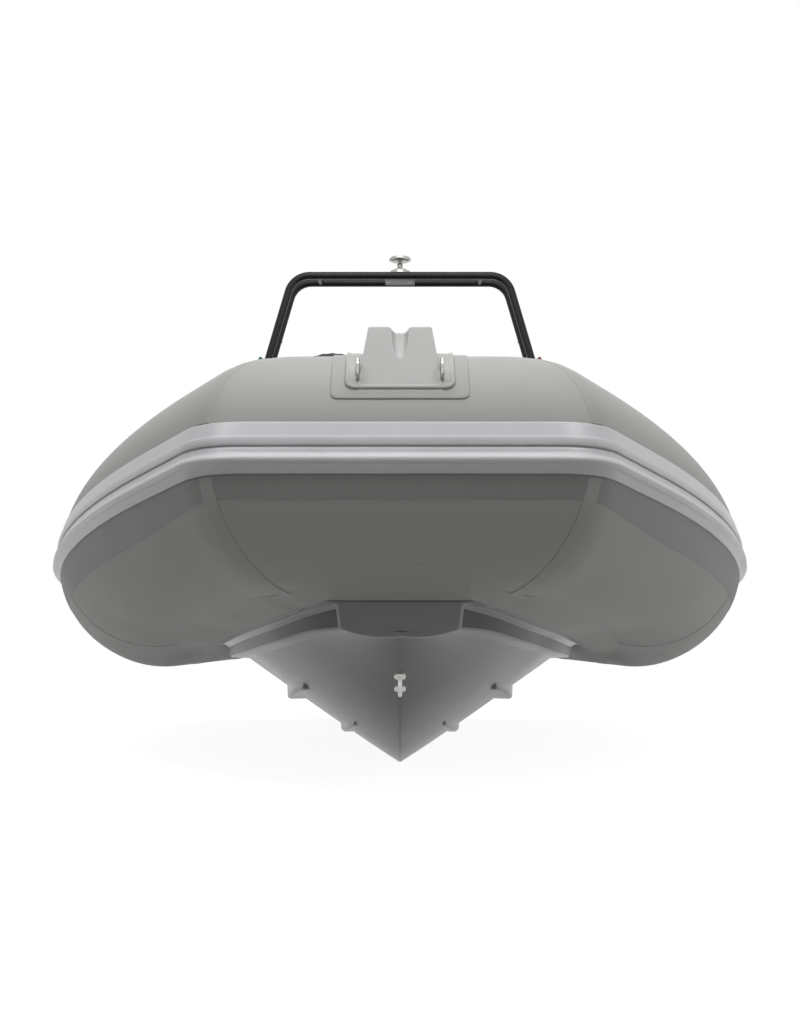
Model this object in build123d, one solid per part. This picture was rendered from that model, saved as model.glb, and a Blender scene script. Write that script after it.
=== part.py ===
from build123d import *
from math import cos, radians, sin, tan
import os

# Rigid inflatable tender: moulded V hull, air tubes, console, rear bench and tow arch.
# Millimetres. +Z is up, the bow points along -Y and +X is the port side.
# The origin is on the waterline, on the centre line, at half the overall length.
# Stations run aft from the centre line of the bow tube.

# air tubes
tube_radius = 220.0
tube_immersion = 20.0        # how far the tube bottoms sit below the waterline aft
bow_half_width = 213.0       # straight bow tube, centre line to the mitre
bow_turn = 61.0              # degrees the tube turns at each bow mitre
oblique_length = 147.0       # straight run aft of the mitre
shoulder_radius = 3140.0     # plan curve of the forward sides
shoulder_turn = 17.4         # degrees turned along it
side_bend_radius = 1381.0    # tighter plan curve that brings the sides parallel
bow_pitch = 6.2             # degrees the forward part of the tubes is raised
sheer_radius = 1944.0        # vertical curve from the raised bow to the level sides
cone_station = 3150.0        # where the stern cones begin
cone_length = 340.0
cone_end_radius = 92.0
cap_length = 34.0
glue_gap = 0.6               # adhesive line between the tubes and what lies on them

# rubbing strake
strake_bead_radius = 13.0
strake_bead_angle = -2.0     # degrees above the tube's equator
strake_top_angle = 13.0
strake_bottom_angle = -10.6
strake_proud = strake_bead_radius + 3.5

# hull and deck
transom_station = 3160.0     # outer face of the transom
transom_thickness = 50.0
transom_top = 300.0
transom_notch = 250.0        # half width of the lowered middle
transom_shoulder = 40.0      # the notch widens by this much up to its shoulders
sole_z = 110.0
sole_thickness = 15.0
sole_half_width = 385.0
sole_start = 870.0
margin_z = 120.0             # moulded margin between the sole and the tubes
margin_wall = 12.0           # least thickness left between the recess and the tubes
lip_rise = 60.0               # the lip's upright edge, which reaches into the tubes' seat

# bow fittings
patch_half_width = 121.0     # glued patch, angles from the tube top, forward positive
patch_angles = (-40.0, 58.5)
patch_thickness = 1.8
pad_half_width = 96.0
pad_angles = (-32.0, 53.0)
pad_thickness = 4.0
pad_rim = 6.0
chock_bottom = 138.0
chock_top = 113.0
chock_rise = 36.0            # above the tube top
chock_foot = 151.0           # the front face's foot, above the tube's centre line
chock_front = -163.0         # station of the front face at its foot
chock_slope = 46.0           # the front face leans back by this much up to its top
chock_back = 22.0
eye_rod = 7.0
eye_angle = 41.0             # degrees forward of the tube top
bow_eye_rod = 8.0
bow_eye_half = 26.0          # from the middle of the bolt to each leg
bow_eye_reach = 21.0         # from the hull to the bolt's outer bar
bow_eye_washer = 22.0

# bow locker
locker_wall = 8.0
locker_back = 860.0
locker_front = 210.0
locker_top = 285.0
lid_half_width = 180.0
lid_front = 420.0
lid_back = 815.0
lid_thickness = 15.0
lid_lap = 20.0               # the lid covers its opening by this much
hinge_radius = 5.5
hinge_back = 6.0             # hinge pin ahead of the lid's front edge
hinge_up = 6.3               # and above the face that the lid lies on
hinge_length = 60.0
seat_gap = 0.3

# console and helm
console_x = -207.0
console_width = 336.0
console_front = 1700.0       # station of the foot's front
console_depth = 285.0
console_height = 750.0       # above the sole
console_edge = 24.0
wheel_radius = 170.0
wheel_rim = 13.0
wheel_tilt = 20.0            # degrees the steering axis is raised from level
wheel_station = 1958.0
wheel_z = 764.0
wheel_standoff = 95.0        # from the helm face to the rim's plane
helm_boss_radius = 46.0
helm_boss_length = 34.0
wheel_hub_radius = 36.0
shaft_radius = 10.0
shaft_clearance = 0.05
throttle_station = 1862.0
throttle_z = 724.0

# rear bench
bench_front = 2240.0
bench_back = 2640.0
bench_side_gap = 4.0         # between the bench and the edge of the sole
bench_top = 450.0
bench_wall = 8.0
bench_rim = 30.0             # inward flange that the lid lies on
bench_corner = 20.0
bench_lid_thickness = 14.0
cushion_thickness = 60.0
cushion_edge = 18.0
backrest_gap = 14.0
backrest_thickness = 60.0
backrest_bottom = 545.0
backrest_top = 830.0
backrest_inset = 10.0        # each side, inside the bench's sides
backrest_post = 30.0
post_bar = 8.0

# quarter pods and transom fittings
pod_front = 2730.0
pod_inner = 260.0
pod_outer = 545.0
pod_over_tube = 5.0          # the pod's top above the top of the tube
pod_edge = 18.0
engine_pad = (150.0, 125.0, 288.0)   # half width, bottom, top
engine_pad_thickness = 10.0
stern_eye_x = 345.0
stern_eye_z = 235.0

# tow arch
arch_tube = 28.0
arch_front_station = 2780.0
arch_back_station = 2900.0
arch_top = 1385.5            # top of the hoops
arch_knee_z = 1010.0
arch_knee_x = 487.0
arch_foot_x = 475.0
arch_lean = 15.9             # degrees the upper legs lean inwards
arch_corner = 80.0           # bend radius on the tube's centre line
arch_knee_bend = 140.0
foot_radius = 30.0
foot_thickness = 6.0
strut_x = 294.0
strut_tube = 20.0
post_plate_width = 110.0
post_plate_thickness = 8.0
post_plate_top = 1368.0      # the plate lies between the two hoops
post_radius = 41.0
light_z = 1044.0
light_height = 62.0
light_depth = 46.0
light_width = 28.0

# worked out from the tubes
across = Vector(-1, 0, 0)
aft_down = Vector(0, cos(radians(bow_pitch)), -sin(radians(bow_pitch)))
bow_up = Vector(0, sin(radians(bow_pitch)), cos(radians(bow_pitch)))
turn = radians(bow_turn)
shoulder = radians(bow_turn + shoulder_turn)
tube_x = (bow_half_width + oblique_length * cos(turn) + shoulder_radius * (sin(shoulder) - sin(turn))
          + side_bend_radius * (1 - sin(shoulder)))
bent_run = (oblique_length * sin(turn) + shoulder_radius * (cos(turn) - cos(shoulder))
            + side_bend_radius * cos(shoulder))
rise = bent_run * sin(radians(bow_pitch)) + sheer_radius * (1 - cos(radians(bow_pitch)))
tube_z = tube_radius - tube_immersion
bow_z = tube_z + rise
tube_top = tube_z + tube_radius
pod_top = tube_top + pod_over_tube
bench_half_width = sole_half_width - bench_side_gap
backrest_half_width = sole_half_width - backrest_inset
level_station = bent_run * cos(radians(bow_pitch)) + sheer_radius * sin(radians(bow_pitch))
overall_length = tube_radius + strake_proud + cone_station + cone_length + cap_length
bow_y = tube_radius + strake_proud - overall_length / 2


def y_of(station):
    return bow_y + station


def both_sides(solid):
    return solid + mirror(solid, about=Plane.YZ)


def save(node, *solids):
    """Writes one node; its solids may be apart."""
    found = [piece for solid in solids for piece in solid.solids()]
    shape = found[0] if len(found) == 1 else Compound(children=found)
    shape.label = node
    export_step(shape, f"parts/{node}.step")


def box(x, y, z):
    """A block from three (low, high) pairs."""
    size = [high - low for low, high in (x, y, z)]
    centre = [(high + low) / 2 for low, high in (x, y, z)]
    return Pos(*centre) * Box(*size)


# ---------------------------------------------------------------- tubes
def tube_frame(point, angle):
    """Section plane on the starboard side: x outward, y up, z along the tube."""
    along = across * cos(radians(angle)) + aft_down * sin(radians(angle))
    outward = across * sin(radians(angle)) - aft_down * cos(radians(angle))
    return Plane(origin=point, x_dir=outward, z_dir=along)


def along_tube(profile, reach):
    """Carries a section along the starboard tube: the bow half, then the side."""
    bow = tube_frame(Vector(0, bow_y, bow_z), 0)
    corner = bow.origin + bow.z_dir * bow_half_width
    oblique = tube_frame(corner, bow_turn)
    over = reach * tan(turn / 2) + 5
    mitre = Plane(origin=corner, z_dir=bow.z_dir + oblique.z_dir)
    bow_part = split(extrude(bow * profile, bow_half_width + over), bisect_by=mitre, keep=Keep.BOTTOM)
    run = extrude(oblique.offset(-over) * profile, over + oblique_length)
    side = split(run, bisect_by=mitre, keep=Keep.TOP)
    bend = oblique.offset(oblique_length)
    angle = bow_turn
    for radius, turned in ((shoulder_radius, shoulder_turn), (side_bend_radius, 90 - bow_turn - shoulder_turn)):
        centre = bend.origin - bend.x_dir * radius
        side += revolve(bend * profile, Axis(centre, -bow_up), turned)
        angle += turned
        outward = tube_frame(centre, angle).x_dir
        bend = tube_frame(centre + outward * radius, angle)
    sheer_centre = bend.origin + bow_up * sheer_radius
    side += revolve(bend * profile, Axis(sheer_centre, Vector(1, 0, 0)), bow_pitch)
    level = Plane(origin=(-tube_x, y_of(level_station), tube_z), x_dir=(-1, 0, 0), z_dir=(0, 1, 0))
    side += extrude(level * profile, cone_station - level_station)
    return bow_part, side


def tube_envelope(radius):
    """The whole tube with a given radius, as a cutting tool."""
    bow, side = along_tube(Circle(radius), radius)
    ends = box((-tube_x - radius, -tube_x + radius), (y_of(cone_station), y_of(cone_station + 60)),
               (tube_z - radius, tube_z + radius))
    level = Plane(origin=(-tube_x, y_of(cone_station), tube_z), x_dir=(-1, 0, 0), z_dir=(0, 1, 0))
    return both_sides(bow), both_sides(side + extrude(level * Circle(radius), 60))


def clear_of_tubes(solid, gap=glue_gap):
    bow, sides = tube_envelope(tube_radius + gap)
    return solid - bow - sides


def strake_section():
    """Ribbed strake on the outer side of the tube: flat flanges, a step and a round bead."""
    # columns: degrees above the equator, proud of the tube
    rows = [(strake_bottom_angle, 3.0), (-6.2, 4.0), (3.2, 4.0), (3.4, 6.5), (6.2, 6.5), (6.4, 4.0),
            (strake_top_angle, 3.0)]
    outer = [((tube_radius + proud) * cos(radians(a)), (tube_radius + proud) * sin(radians(a)))
             for a, proud in rows]
    inner = [((tube_radius - 8) * cos(radians(a)), (tube_radius - 8) * sin(radians(a)))
             for a in (strake_top_angle, strake_bottom_angle)]
    band = make_face(Polyline(*outer, *inner, close=True))
    bead_angle = radians(strake_bead_angle)
    bead_at = tube_radius + strake_proud - strake_bead_radius
    bead = Pos(bead_at * cos(bead_angle), bead_at * sin(bead_angle)) * Circle(strake_bead_radius)
    return band + bead - Circle(tube_radius + glue_gap)


def stern_cone():
    """Starboard cone, drawn along +Z and then laid in place."""
    cone = Solid.make_cone(tube_radius, cone_end_radius, cone_length)
    lay = Plane(origin=(-tube_x, y_of(cone_station), tube_z), x_dir=(-1, 0, 0), z_dir=(0, 1, 0))
    return lay.location * cone


def stern_cap():
    wall = cone_end_radius + 4
    cup = extrude(Circle(wall), cap_length)
    cup = fillet(cup.faces().sort_by(Axis.Z)[-1].edges(), cap_length * 0.6)
    lay = Plane(origin=(-tube_x, y_of(cone_station + cone_length), tube_z), x_dir=(-1, 0, 0), z_dir=(0, 1, 0))
    return lay.location * cup


# ---------------------------------------------------------------- hull
# columns: station, keel z, bottom edge x z, chine x z, side top x z, lip x z, top z
hull_lines = [
    (-66, 65, 96, 70, 102, 73, 107, 119, 126, 121, 165),
    (60, -6, 148, 60, 165, 68, 174, 101, 184, 106, 168),
    (230, -95, 212, 44, 234, 51, 245, 80, 255, 85, 165),
    (500, -190, 290, 26, 311, 32, 323, 60, 333, 67, 145),
    (900, -233, 353, 11, 391, 14, 402, 43, 413, 49, margin_z + 6),
    (1400, -234, 402, 5, 452, 6, 460, 38, 474, 42, margin_z),
    (2200, -234, 402, -3, 452, -2, 460, 36, 474, 40, margin_z),
    (transom_station - transom_thickness, -234, 402, -3, 452, -2, 460, 36, 474, 40, margin_z),
]


def hull_section(row):
    station, keel, edge_x, edge_z, chine_x, chine_z, side_x, side_z, lip_x, lip_z, top = row
    belly = (edge_x * 0.5 + 6, (keel + edge_z) / 2 - 6)
    plane = Plane(origin=(0, y_of(station), 0), x_dir=(1, 0, 0), z_dir=(0, -1, 0))
    bottom = ThreePointArc((0, keel), belly, (edge_x, edge_z))
    rest = Polyline((edge_x, edge_z), (chine_x, chine_z), (side_x, side_z), (lip_x, lip_z),
                    (lip_x, lip_z + lip_rise), (lip_x - 25, top), (0, top), (0, keel))
    return plane * make_face([bottom.edge(), *rest.edges()])


def sole():
    """Flat floor panel, kept a wall's thickness away from the tubes."""
    panel = box((-sole_half_width, sole_half_width),
                (y_of(sole_start), y_of(transom_station - transom_thickness)),
                (sole_z - sole_thickness, sole_z))
    return clear_of_tubes(panel, margin_wall)


def hull():
    half = loft([hull_section(row) for row in hull_lines], ruled=True, clean=False)
    recess = box((-sole_half_width, sole_half_width), (y_of(sole_start), y_of(transom_station)),
                 (sole_z - sole_thickness, pod_top))
    return clear_of_tubes(both_sides(half)) - clear_of_tubes(recess, margin_wall)


def transom():
    """Flat board that closes the hull aft, lowered in the middle for the engine."""
    keel, edge_x, edge_z, chine_x, chine_z, side_x, side_z = hull_lines[-1][1:8]
    notch = transom_notch
    outline = [(0, keel), (edge_x, edge_z), (chine_x, chine_z), (side_x, side_z),
               (pod_outer, side_z + 15), (pod_outer, pod_top), (notch + transom_shoulder, pod_top),
               (notch, transom_top), (0, transom_top)]
    plane = Plane(origin=(0, y_of(transom_station), 0), x_dir=(1, 0, 0), z_dir=(0, -1, 0))
    half = extrude(plane * make_face(Polyline(*outline, close=True)), transom_thickness)
    return clear_of_tubes(both_sides(half))


def engine_pads():
    half_width, low, high = engine_pad
    front = transom_station - transom_thickness
    return [box((-half_width, half_width), (y_of(y - engine_pad_thickness), y_of(y)), (low, high))
            for y in (front, transom_station + engine_pad_thickness)]


def bottom_z(row, x):
    """Height of the V at a half width, on a hull section."""
    keel, edge_x, edge_z = row[1:4]
    return keel + (edge_z - keel) * x / edge_x


# columns: station, outer edge of the outer rail, of the inner rail
rail_lines = [(500, 211, 101), (900, 267, 139), (1400, 278, 144), (2200, 282, 146),
              (transom_station - transom_thickness, 282, 146)]
rail_widths = (44.0, 26.0)


def spray_rails():
    """Level-bottomed strips down the V, two a side."""
    by_station = {row[0]: row for row in hull_lines}
    rails = []
    for column, width in enumerate(rail_widths):
        sections = []
        for line in rail_lines:
            row, outer = by_station[line[0]], line[1 + column]
            wide = width if line[0] > rail_lines[0][0] else width * 0.3
            low = bottom_z(row, outer - wide) - 3
            points = [(outer - wide, low + 1), (outer - 3, low - 1), (outer, low + 2),
                      (outer, bottom_z(row, outer) + 14), (outer - wide, bottom_z(row, outer - wide) + 14)]
            plane = Plane(origin=(0, y_of(line[0]), 0), x_dir=(1, 0, 0), z_dir=(0, -1, 0))
            sections.append(plane * make_face(Polyline(*points, close=True)))
        rails.append(loft(sections, ruled=True, clean=False))
    return rails


# ---------------------------------------------------------------- bow fittings
def over_bow(inner, outer, half_width, angles, corner):
    """Part of a sleeve on the bow tube between two angles from its top."""
    low, high = angles
    length = radians(high - low) * tube_radius
    middle = radians((low + high) / 2)
    sleeve = Rot(0, 90, 0) * (Cylinder(outer, 2 * half_width + 2) - Cylinder(inner, 2 * half_width + 2))
    chord = 2 * tube_radius * sin(radians((high - low) / 2))
    plane = Plane(origin=(0, -sin(middle) * 10, cos(middle) * 10), x_dir=(1, 0, 0),
                  z_dir=(0, -sin(middle), cos(middle)))
    punch = extrude(plane * RectangleRounded(2 * half_width, chord, corner), 400)
    return Pos(0, bow_y, bow_z) * (sleeve & punch)


def bow_patch():
    inner = tube_radius + glue_gap
    return over_bow(inner, inner + patch_thickness, patch_half_width, patch_angles, 30)


def bow_pad():
    inner = tube_radius + glue_gap + patch_thickness
    low, high = pad_angles
    plate = over_bow(inner, inner + pad_thickness, pad_half_width, pad_angles, 22)
    rim = over_bow(inner, inner + pad_rim, pad_half_width, pad_angles, 22)
    inside = over_bow(inner - 1, inner + pad_rim + 1, pad_half_width - 7, (low + 2, high - 2), 16)
    return plate + (rim - inside)


def pad_radius():
    return tube_radius + glue_gap + patch_thickness + pad_thickness


def bow_chock():
    """Moulded rope chock: tapered block, V notch on top, a teardrop groove down its face."""
    top = bow_z + tube_radius + chock_rise
    foot = bow_z + chock_foot
    low = foot - 31
    further = (foot - low) / (top - foot)
    spread = (chock_bottom - chock_top) / 2 * further
    front = Plane(origin=(0, bow_y, 0), x_dir=(1, 0, 0), z_dir=(0, -1, 0))
    face = make_face(Polyline((-chock_bottom / 2 - spread, low), (chock_bottom / 2 + spread, low),
                              (chock_top / 2, top), (-chock_top / 2, top), close=True))
    block = extrude(front * face, 300, both=True)
    side = Plane(origin=(0, bow_y, 0), x_dir=(0, 1, 0), z_dir=(1, 0, 0))
    profile = make_face(Polyline((chock_front - chock_slope * further, low), (chock_front + chock_slope, top),
                                 (chock_back - 26, top), (chock_back + 14, low), close=True))
    block &= extrude(side * profile, 200, both=True)
    notch = make_face(Polyline((-8, top - 10.5), (8, top - 10.5), (19, top + 1), (-19, top + 1), close=True))
    block -= extrude(front * notch, 300, both=True)
    down = Vector(0, -chock_slope, foot - top).normalized()
    start = Vector(0, bow_y + chock_front + chock_slope, top) - down * 4
    groove = Plane(origin=start, x_dir=(1, 0, 0), z_dir=down)
    block -= groove.location * Solid.make_cone(15.5, 7.0, 52)
    block -= groove.offset(52).location * Sphere(7.0)
    block = fillet(block.edges().filter_by(Axis.Y).group_by(Axis.Z)[-1], 4)
    seat = Pos(0, bow_y, bow_z) * Rot(0, 90, 0) * Cylinder(pad_radius() + 0.1, 400)
    return block - seat


def side_eyes():
    """A stainless loop each side of the chock, square to the tube."""
    stand, deep, bend = 34.0, 20.0, 15.0
    seat = Pos(0, bow_y, bow_z) * Rot(0, 90, 0) * Cylinder(pad_radius() + 0.1, 400)
    loops = []
    for side in (-1, 1):
        x = side * (chock_bottom / 2 + eye_rod / 2 + 1)
        path = FilletPolyline((x, -bend, -deep), (x, -bend, stand), (x, bend, stand), (x, bend, -deep),
                              radius=bend - 1)
        rod = sweep(Plane(origin=(x, -bend, -deep), z_dir=(0, 0, 1)) * Circle(eye_rod / 2), path)
        on_tube = Pos(0, bow_y, bow_z) * Rot(eye_angle, 0, 0) * Pos(0, 0, tube_radius) * rod
        loops.append(on_tube - seat)
    return loops


# ---------------------------------------------------------------- bow locker
def locker():
    top = locker_top
    # half widths reach into the tubes, which then trim the sides
    plan = make_face(Polyline((-250, y_of(locker_front)), (250, y_of(locker_front)),
                              (435, y_of(locker_back)), (-435, y_of(locker_back)), close=True))
    outer = Pos(0, 0, 60) * extrude(plan, top - 60)
    inner = box((-460, 460), (y_of(locker_front + locker_wall), y_of(locker_back - locker_wall)),
                (59, top - locker_wall))
    bow_gap, side_gap = tube_envelope(tube_radius + glue_gap + locker_wall)
    shell = clear_of_tubes(outer) - (inner - bow_gap - side_gap)
    opening = box((-lid_half_width + lid_lap, lid_half_width - lid_lap),
                  (y_of(lid_front + lid_lap), y_of(lid_back - lid_lap)), (top - locker_wall - 5, top + 5))
    return shell - opening


def largest(shape):
    """Drops the offcuts that a trim leaves."""
    return shape.solids().sort_by(SortBy.VOLUME)[-1]


def hinge(station, face_z, places):
    """Barrels on the front edge of a lid, each with a leaf back to it."""
    barrels = []
    for x in places:
        low, high = x - hinge_length / 2, x + hinge_length / 2
        pin = Pos(x, y_of(station - hinge_back), face_z + hinge_up) * Rot(0, 90, 0)
        leaf = box((low, high), (y_of(station - hinge_back), y_of(station + 2)),
                   (face_z + hinge_up - 1, face_z + hinge_up + 2))
        barrels.append(pin * Cylinder(hinge_radius, hinge_length) + leaf)
    return barrels


def locker_lid():
    lid = box((-lid_half_width, lid_half_width), (y_of(lid_front), y_of(lid_back)),
              (locker_top + seat_gap, locker_top + seat_gap + lid_thickness))
    lid = fillet(lid.edges().filter_by(Axis.Z), 24)
    lid = fillet(lid.faces().sort_by(Axis.Z)[-1].edges(), 5)
    reach = lid_half_width * 0.6
    for barrel in hinge(lid_front, locker_top, (-reach, reach)):
        lid += barrel
    return lid


# ---------------------------------------------------------------- console
def helm_axis():
    """Plane through the wheel's centre, z along the steering axis towards the helmsman."""
    tilt = radians(wheel_tilt)
    return Plane(origin=(console_x, y_of(wheel_station), wheel_z), x_dir=(1, 0, 0),
                 z_dir=(0, cos(tilt), sin(tilt)))


def console():
    """Side view of station and height, drawn out to the console's width."""
    tilt = tan(radians(wheel_tilt))
    face_y = wheel_station - wheel_standoff * cos(radians(wheel_tilt))
    face_z = wheel_z - wheel_standoff * sin(radians(wheel_tilt))
    top = sole_z + console_height
    front, back = console_front, console_front + console_depth
    dash_low, dash_high = wheel_z - 1.5 * wheel_radius, top - 20
    helm = [(face_y + (face_z - z) * tilt, z) for z in (dash_low, dash_high)]
    profile = [(front, sole_z), (back, sole_z), (back, dash_low - 40), *helm,
               (front + 90, top), (front + 52, top - 10), (front + 6, sole_z + 450)]
    plane = Plane(origin=(console_x - console_width / 2, bow_y, 0), x_dir=(0, 1, 0), z_dir=(1, 0, 0))
    body = extrude(plane * make_face(Polyline(*profile, close=True)), console_width)
    return fillet(body.edges().filter_by(Axis.X, reverse=True).filter_by(
        lambda e: e.center().Z > sole_z + 1), console_edge)


def helm_boss():
    base = helm_axis().offset(-wheel_standoff + seat_gap)
    boss = extrude(base * Circle(helm_boss_radius), helm_boss_length)
    boss = fillet(boss.faces().sort_by(Axis.Y)[-1].edges(), 6)
    bore = extrude(base.offset(4) * Circle(shaft_radius), helm_boss_length)
    return boss - bore


def steering_wheel():
    """Three dished spokes, a hub on its shaft and a round rim."""
    centre = helm_axis()
    rim_path = wheel_radius - wheel_rim
    rim = centre.location * Solid.make_torus(rim_path, wheel_rim)
    back = -wheel_standoff + seat_gap + helm_boss_length + 1.0
    hub = extrude(centre.offset(back) * Circle(wheel_hub_radius), 38)
    front = centre.offset(back + 38)
    hub = fillet(hub.faces().sort_by(Axis.Y)[-1].edges(), 5)
    shaft = extrude(centre.offset(back) * Circle(shaft_radius - shaft_clearance), -(helm_boss_length - 8))
    wheel = rim + hub + shaft
    for turned in (90, 210, 330):
        spoke = make_face(Polyline((20, back + 14), (wheel_hub_radius, back + 12), (rim_path - 2, -5),
                                   (rim_path, 4), (wheel_hub_radius, back + 24), (20, back + 24), close=True))
        bar = extrude(Plane.XZ * spoke, 15, both=True)
        wheel += centre.location * Rot(0, 0, turned) * bar
    return wheel


def throttle():
    x = console_x + console_width / 2 + seat_gap
    base = box((x, x + 34), (y_of(throttle_station - 45), y_of(throttle_station + 45)),
               (throttle_z - 60, throttle_z + 40))
    base = fillet(base.edges().filter_by(Axis.X), 20)
    hub = Pos(x + 34, y_of(throttle_station), throttle_z) * Rot(0, 90, 0) * Cylinder(
        22, 12, align=(Align.CENTER, Align.CENTER, Align.MIN))
    lever = Pos(x + 41, y_of(throttle_station - 6), throttle_z + 50) * Rot(-7, 0, 0) * Box(8, 18, 110)
    grip = Pos(x + 36, y_of(throttle_station - 14), throttle_z + 105) * Rot(0, 90, 0) * Cylinder(11, 50)
    return base + hub + lever + grip


# ---------------------------------------------------------------- rear bench
def bench():
    half, top = bench_half_width, bench_top
    outer = box((-half, half), (y_of(bench_front), y_of(bench_back)), (sole_z, top))
    outer = fillet(outer.edges().filter_by(Axis.Z), bench_corner)
    wall, rim = bench_wall, bench_rim
    inner = box((-half + wall, half - wall), (y_of(bench_front + wall), y_of(bench_back - wall)),
                (sole_z + wall, top - wall))
    mouth = box((-half + rim, half - rim), (y_of(bench_front + rim), y_of(bench_back - rim)),
                (sole_z + wall, top + 5))
    return outer - inner - mouth


def bench_lid():
    lid = box((-bench_half_width, bench_half_width), (y_of(bench_front), y_of(bench_back)),
              (bench_top + seat_gap, bench_top + seat_gap + bench_lid_thickness))
    lid = fillet(lid.edges().filter_by(Axis.Z), bench_corner)
    reach = bench_half_width * 0.65
    for barrel in hinge(bench_front, bench_top, (-reach, reach)):
        lid += barrel
    return lid


def bench_cushion():
    low = bench_top + 2 * seat_gap + bench_lid_thickness
    inset = 4
    pad = box((-bench_half_width + inset, bench_half_width - inset),
              (y_of(bench_front + inset), y_of(bench_back - inset)), (low, low + cushion_thickness))
    pad = fillet(pad.edges().filter_by(Axis.Z), 30)
    return fillet(pad.faces().sort_by(Axis.Z)[-1].edges(), cushion_edge)


def backrest():
    front = bench_back + backrest_gap
    pad = box((-backrest_half_width, backrest_half_width), (y_of(front), y_of(front + backrest_thickness)),
              (backrest_bottom, backrest_top))
    pad = fillet(pad.edges().filter_by(Axis.Y), 40)
    return fillet(pad.faces().sort_by(Axis.Y)[0].edges(), cushion_edge)


def backrest_posts():
    """Flat bars from the bench's back wall up behind the cushion."""
    bars = []
    back = bench_back + backrest_gap + backrest_thickness + seat_gap
    side = Plane(origin=(0, bow_y, 0), x_dir=(0, 1, 0), z_dir=(1, 0, 0))
    wall = bench_back + seat_gap
    low, high = backrest_bottom - 8, backrest_top - 30
    path = [(wall, 300), (wall + post_bar, 300), (wall + post_bar, low - 110), (back + post_bar, low - 3),
            (back + post_bar, high), (back, high), (back, low), (wall, low - 107)]
    for x in (-bench_half_width * 0.65, bench_half_width * 0.65):
        bar = extrude(side * make_face(Polyline(*path, close=True)), backrest_post)
        bars.append(Pos(x - backrest_post / 2, 0, 0) * bar)
    return bars


# ---------------------------------------------------------------- stern
def quarter_pod():
    """Starboard pod that carries the arch's feet, moulded over the tube's shoulder."""
    end = transom_station - transom_thickness
    pod = box((-pod_outer, -pod_inner), (y_of(pod_front), y_of(end)), (sole_z, pod_top))
    pod = fillet(pod.faces().sort_by(Axis.Z)[-1].edges().filter_by(Axis.Y).sort_by(Axis.X)[-1], pod_edge)
    margin = box((-pod_outer, -sole_half_width), (y_of(pod_front - 1), y_of(end + 1)), (sole_z - 1, margin_z))
    return clear_of_tubes(pod - margin)


def u_eye(x, y, z, rod, half, reach):
    """A U bolt standing aft from a face, its legs one above the other."""
    path = FilletPolyline((x, y, z + half), (x, y + reach, z + half), (x, y + reach, z - half),
                          (x, y, z - half), radius=min(half, reach) * 0.9)
    plane = Plane(origin=(x, y, z + half), z_dir=(0, 1, 0))
    return sweep(plane * Circle(rod / 2), path)


def stern_eyes():
    y = y_of(transom_station) + seat_gap
    return [u_eye(x, y, stern_eye_z, bow_eye_rod, 16, 42) for x in (-stern_eye_x, stern_eye_x)]


def stem_frame():
    """On the stem between the bow eye's two legs, z out of the hull."""
    return Plane(origin=(0, y_of(99), -26), x_dir=(1, 0, 0), z_dir=(0, -0.464, -0.886))


def bow_eye():
    plane = stem_frame()
    sunk = 30
    bolt = plane.location * Rot(90, 0, 0) * u_eye(0, -sunk, 0, bow_eye_rod, bow_eye_half, sunk + bow_eye_reach)
    cups = [plane.location * Pos(0, side * bow_eye_half, -14) * Cylinder(
        bow_eye_washer / 2, 20, align=(Align.CENTER, Align.CENTER, Align.MIN)) for side in (-1, 1)]
    return bolt + cups[0] + cups[1]


# ---------------------------------------------------------------- tow arch
def hoop_path(station):
    tube = arch_tube / 2
    y = y_of(station)
    top = arch_top - tube
    corner_x = arch_knee_x - (top - arch_knee_z) * tan(radians(arch_lean))
    points = [(-arch_foot_x, y, pod_top + foot_thickness), (-arch_knee_x, y, arch_knee_z),
              (-corner_x, y, top), (corner_x, y, top), (arch_knee_x, y, arch_knee_z),
              (arch_foot_x, y, pod_top + foot_thickness)]
    return FilletPolyline(*points, radius=[arch_knee_bend, arch_corner, arch_corner, arch_knee_bend])


def hoop(station):
    path = hoop_path(station)
    start = Plane(origin=path @ 0, z_dir=path % 0)
    pipe = sweep(start * Circle(arch_tube / 2), path)
    return pipe - box((-600, 600), (-3000, 3000), (pod_top - 60, pod_top + foot_thickness))


def arch_feet():
    feet = []
    for station in (arch_front_station, arch_back_station):
        for side in (-1, 1):
            plate = Pos(side * arch_foot_x, y_of(station), pod_top) * Cylinder(
                foot_radius, foot_thickness, align=(Align.CENTER, Align.CENTER, Align.MIN))
            feet.append(plate)
    return feet


def arch_struts():
    z = arch_top - arch_tube / 2
    gap = arch_tube / 2
    bars = []
    for side in (-1, 1):
        bar = Pos(side * strut_x, y_of(arch_front_station), z) * Rot(-90, 0, 0) * Cylinder(
            strut_tube / 2, arch_back_station - arch_front_station,
            align=(Align.CENTER, Align.CENTER, Align.MIN))
        for station in (arch_front_station, arch_back_station):
            bar -= Pos(side * strut_x, y_of(station), z) * Rot(0, 90, 0) * Cylinder(gap + 0.05, 80)
        bars.append(bar)
    return bars


def post_plate():
    """Plate set between the two hoops, which carries the post."""
    half = post_plate_width / 2
    z = arch_top - arch_tube / 2
    plate = box((-half, half), (y_of(arch_front_station), y_of(arch_back_station)),
                (post_plate_top - post_plate_thickness, post_plate_top))
    for station in (arch_front_station, arch_back_station):
        plate -= Pos(0, y_of(station), z) * Rot(0, 90, 0) * Cylinder(arch_tube / 2 + 0.05, 2 * half + 2)
    return plate


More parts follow.
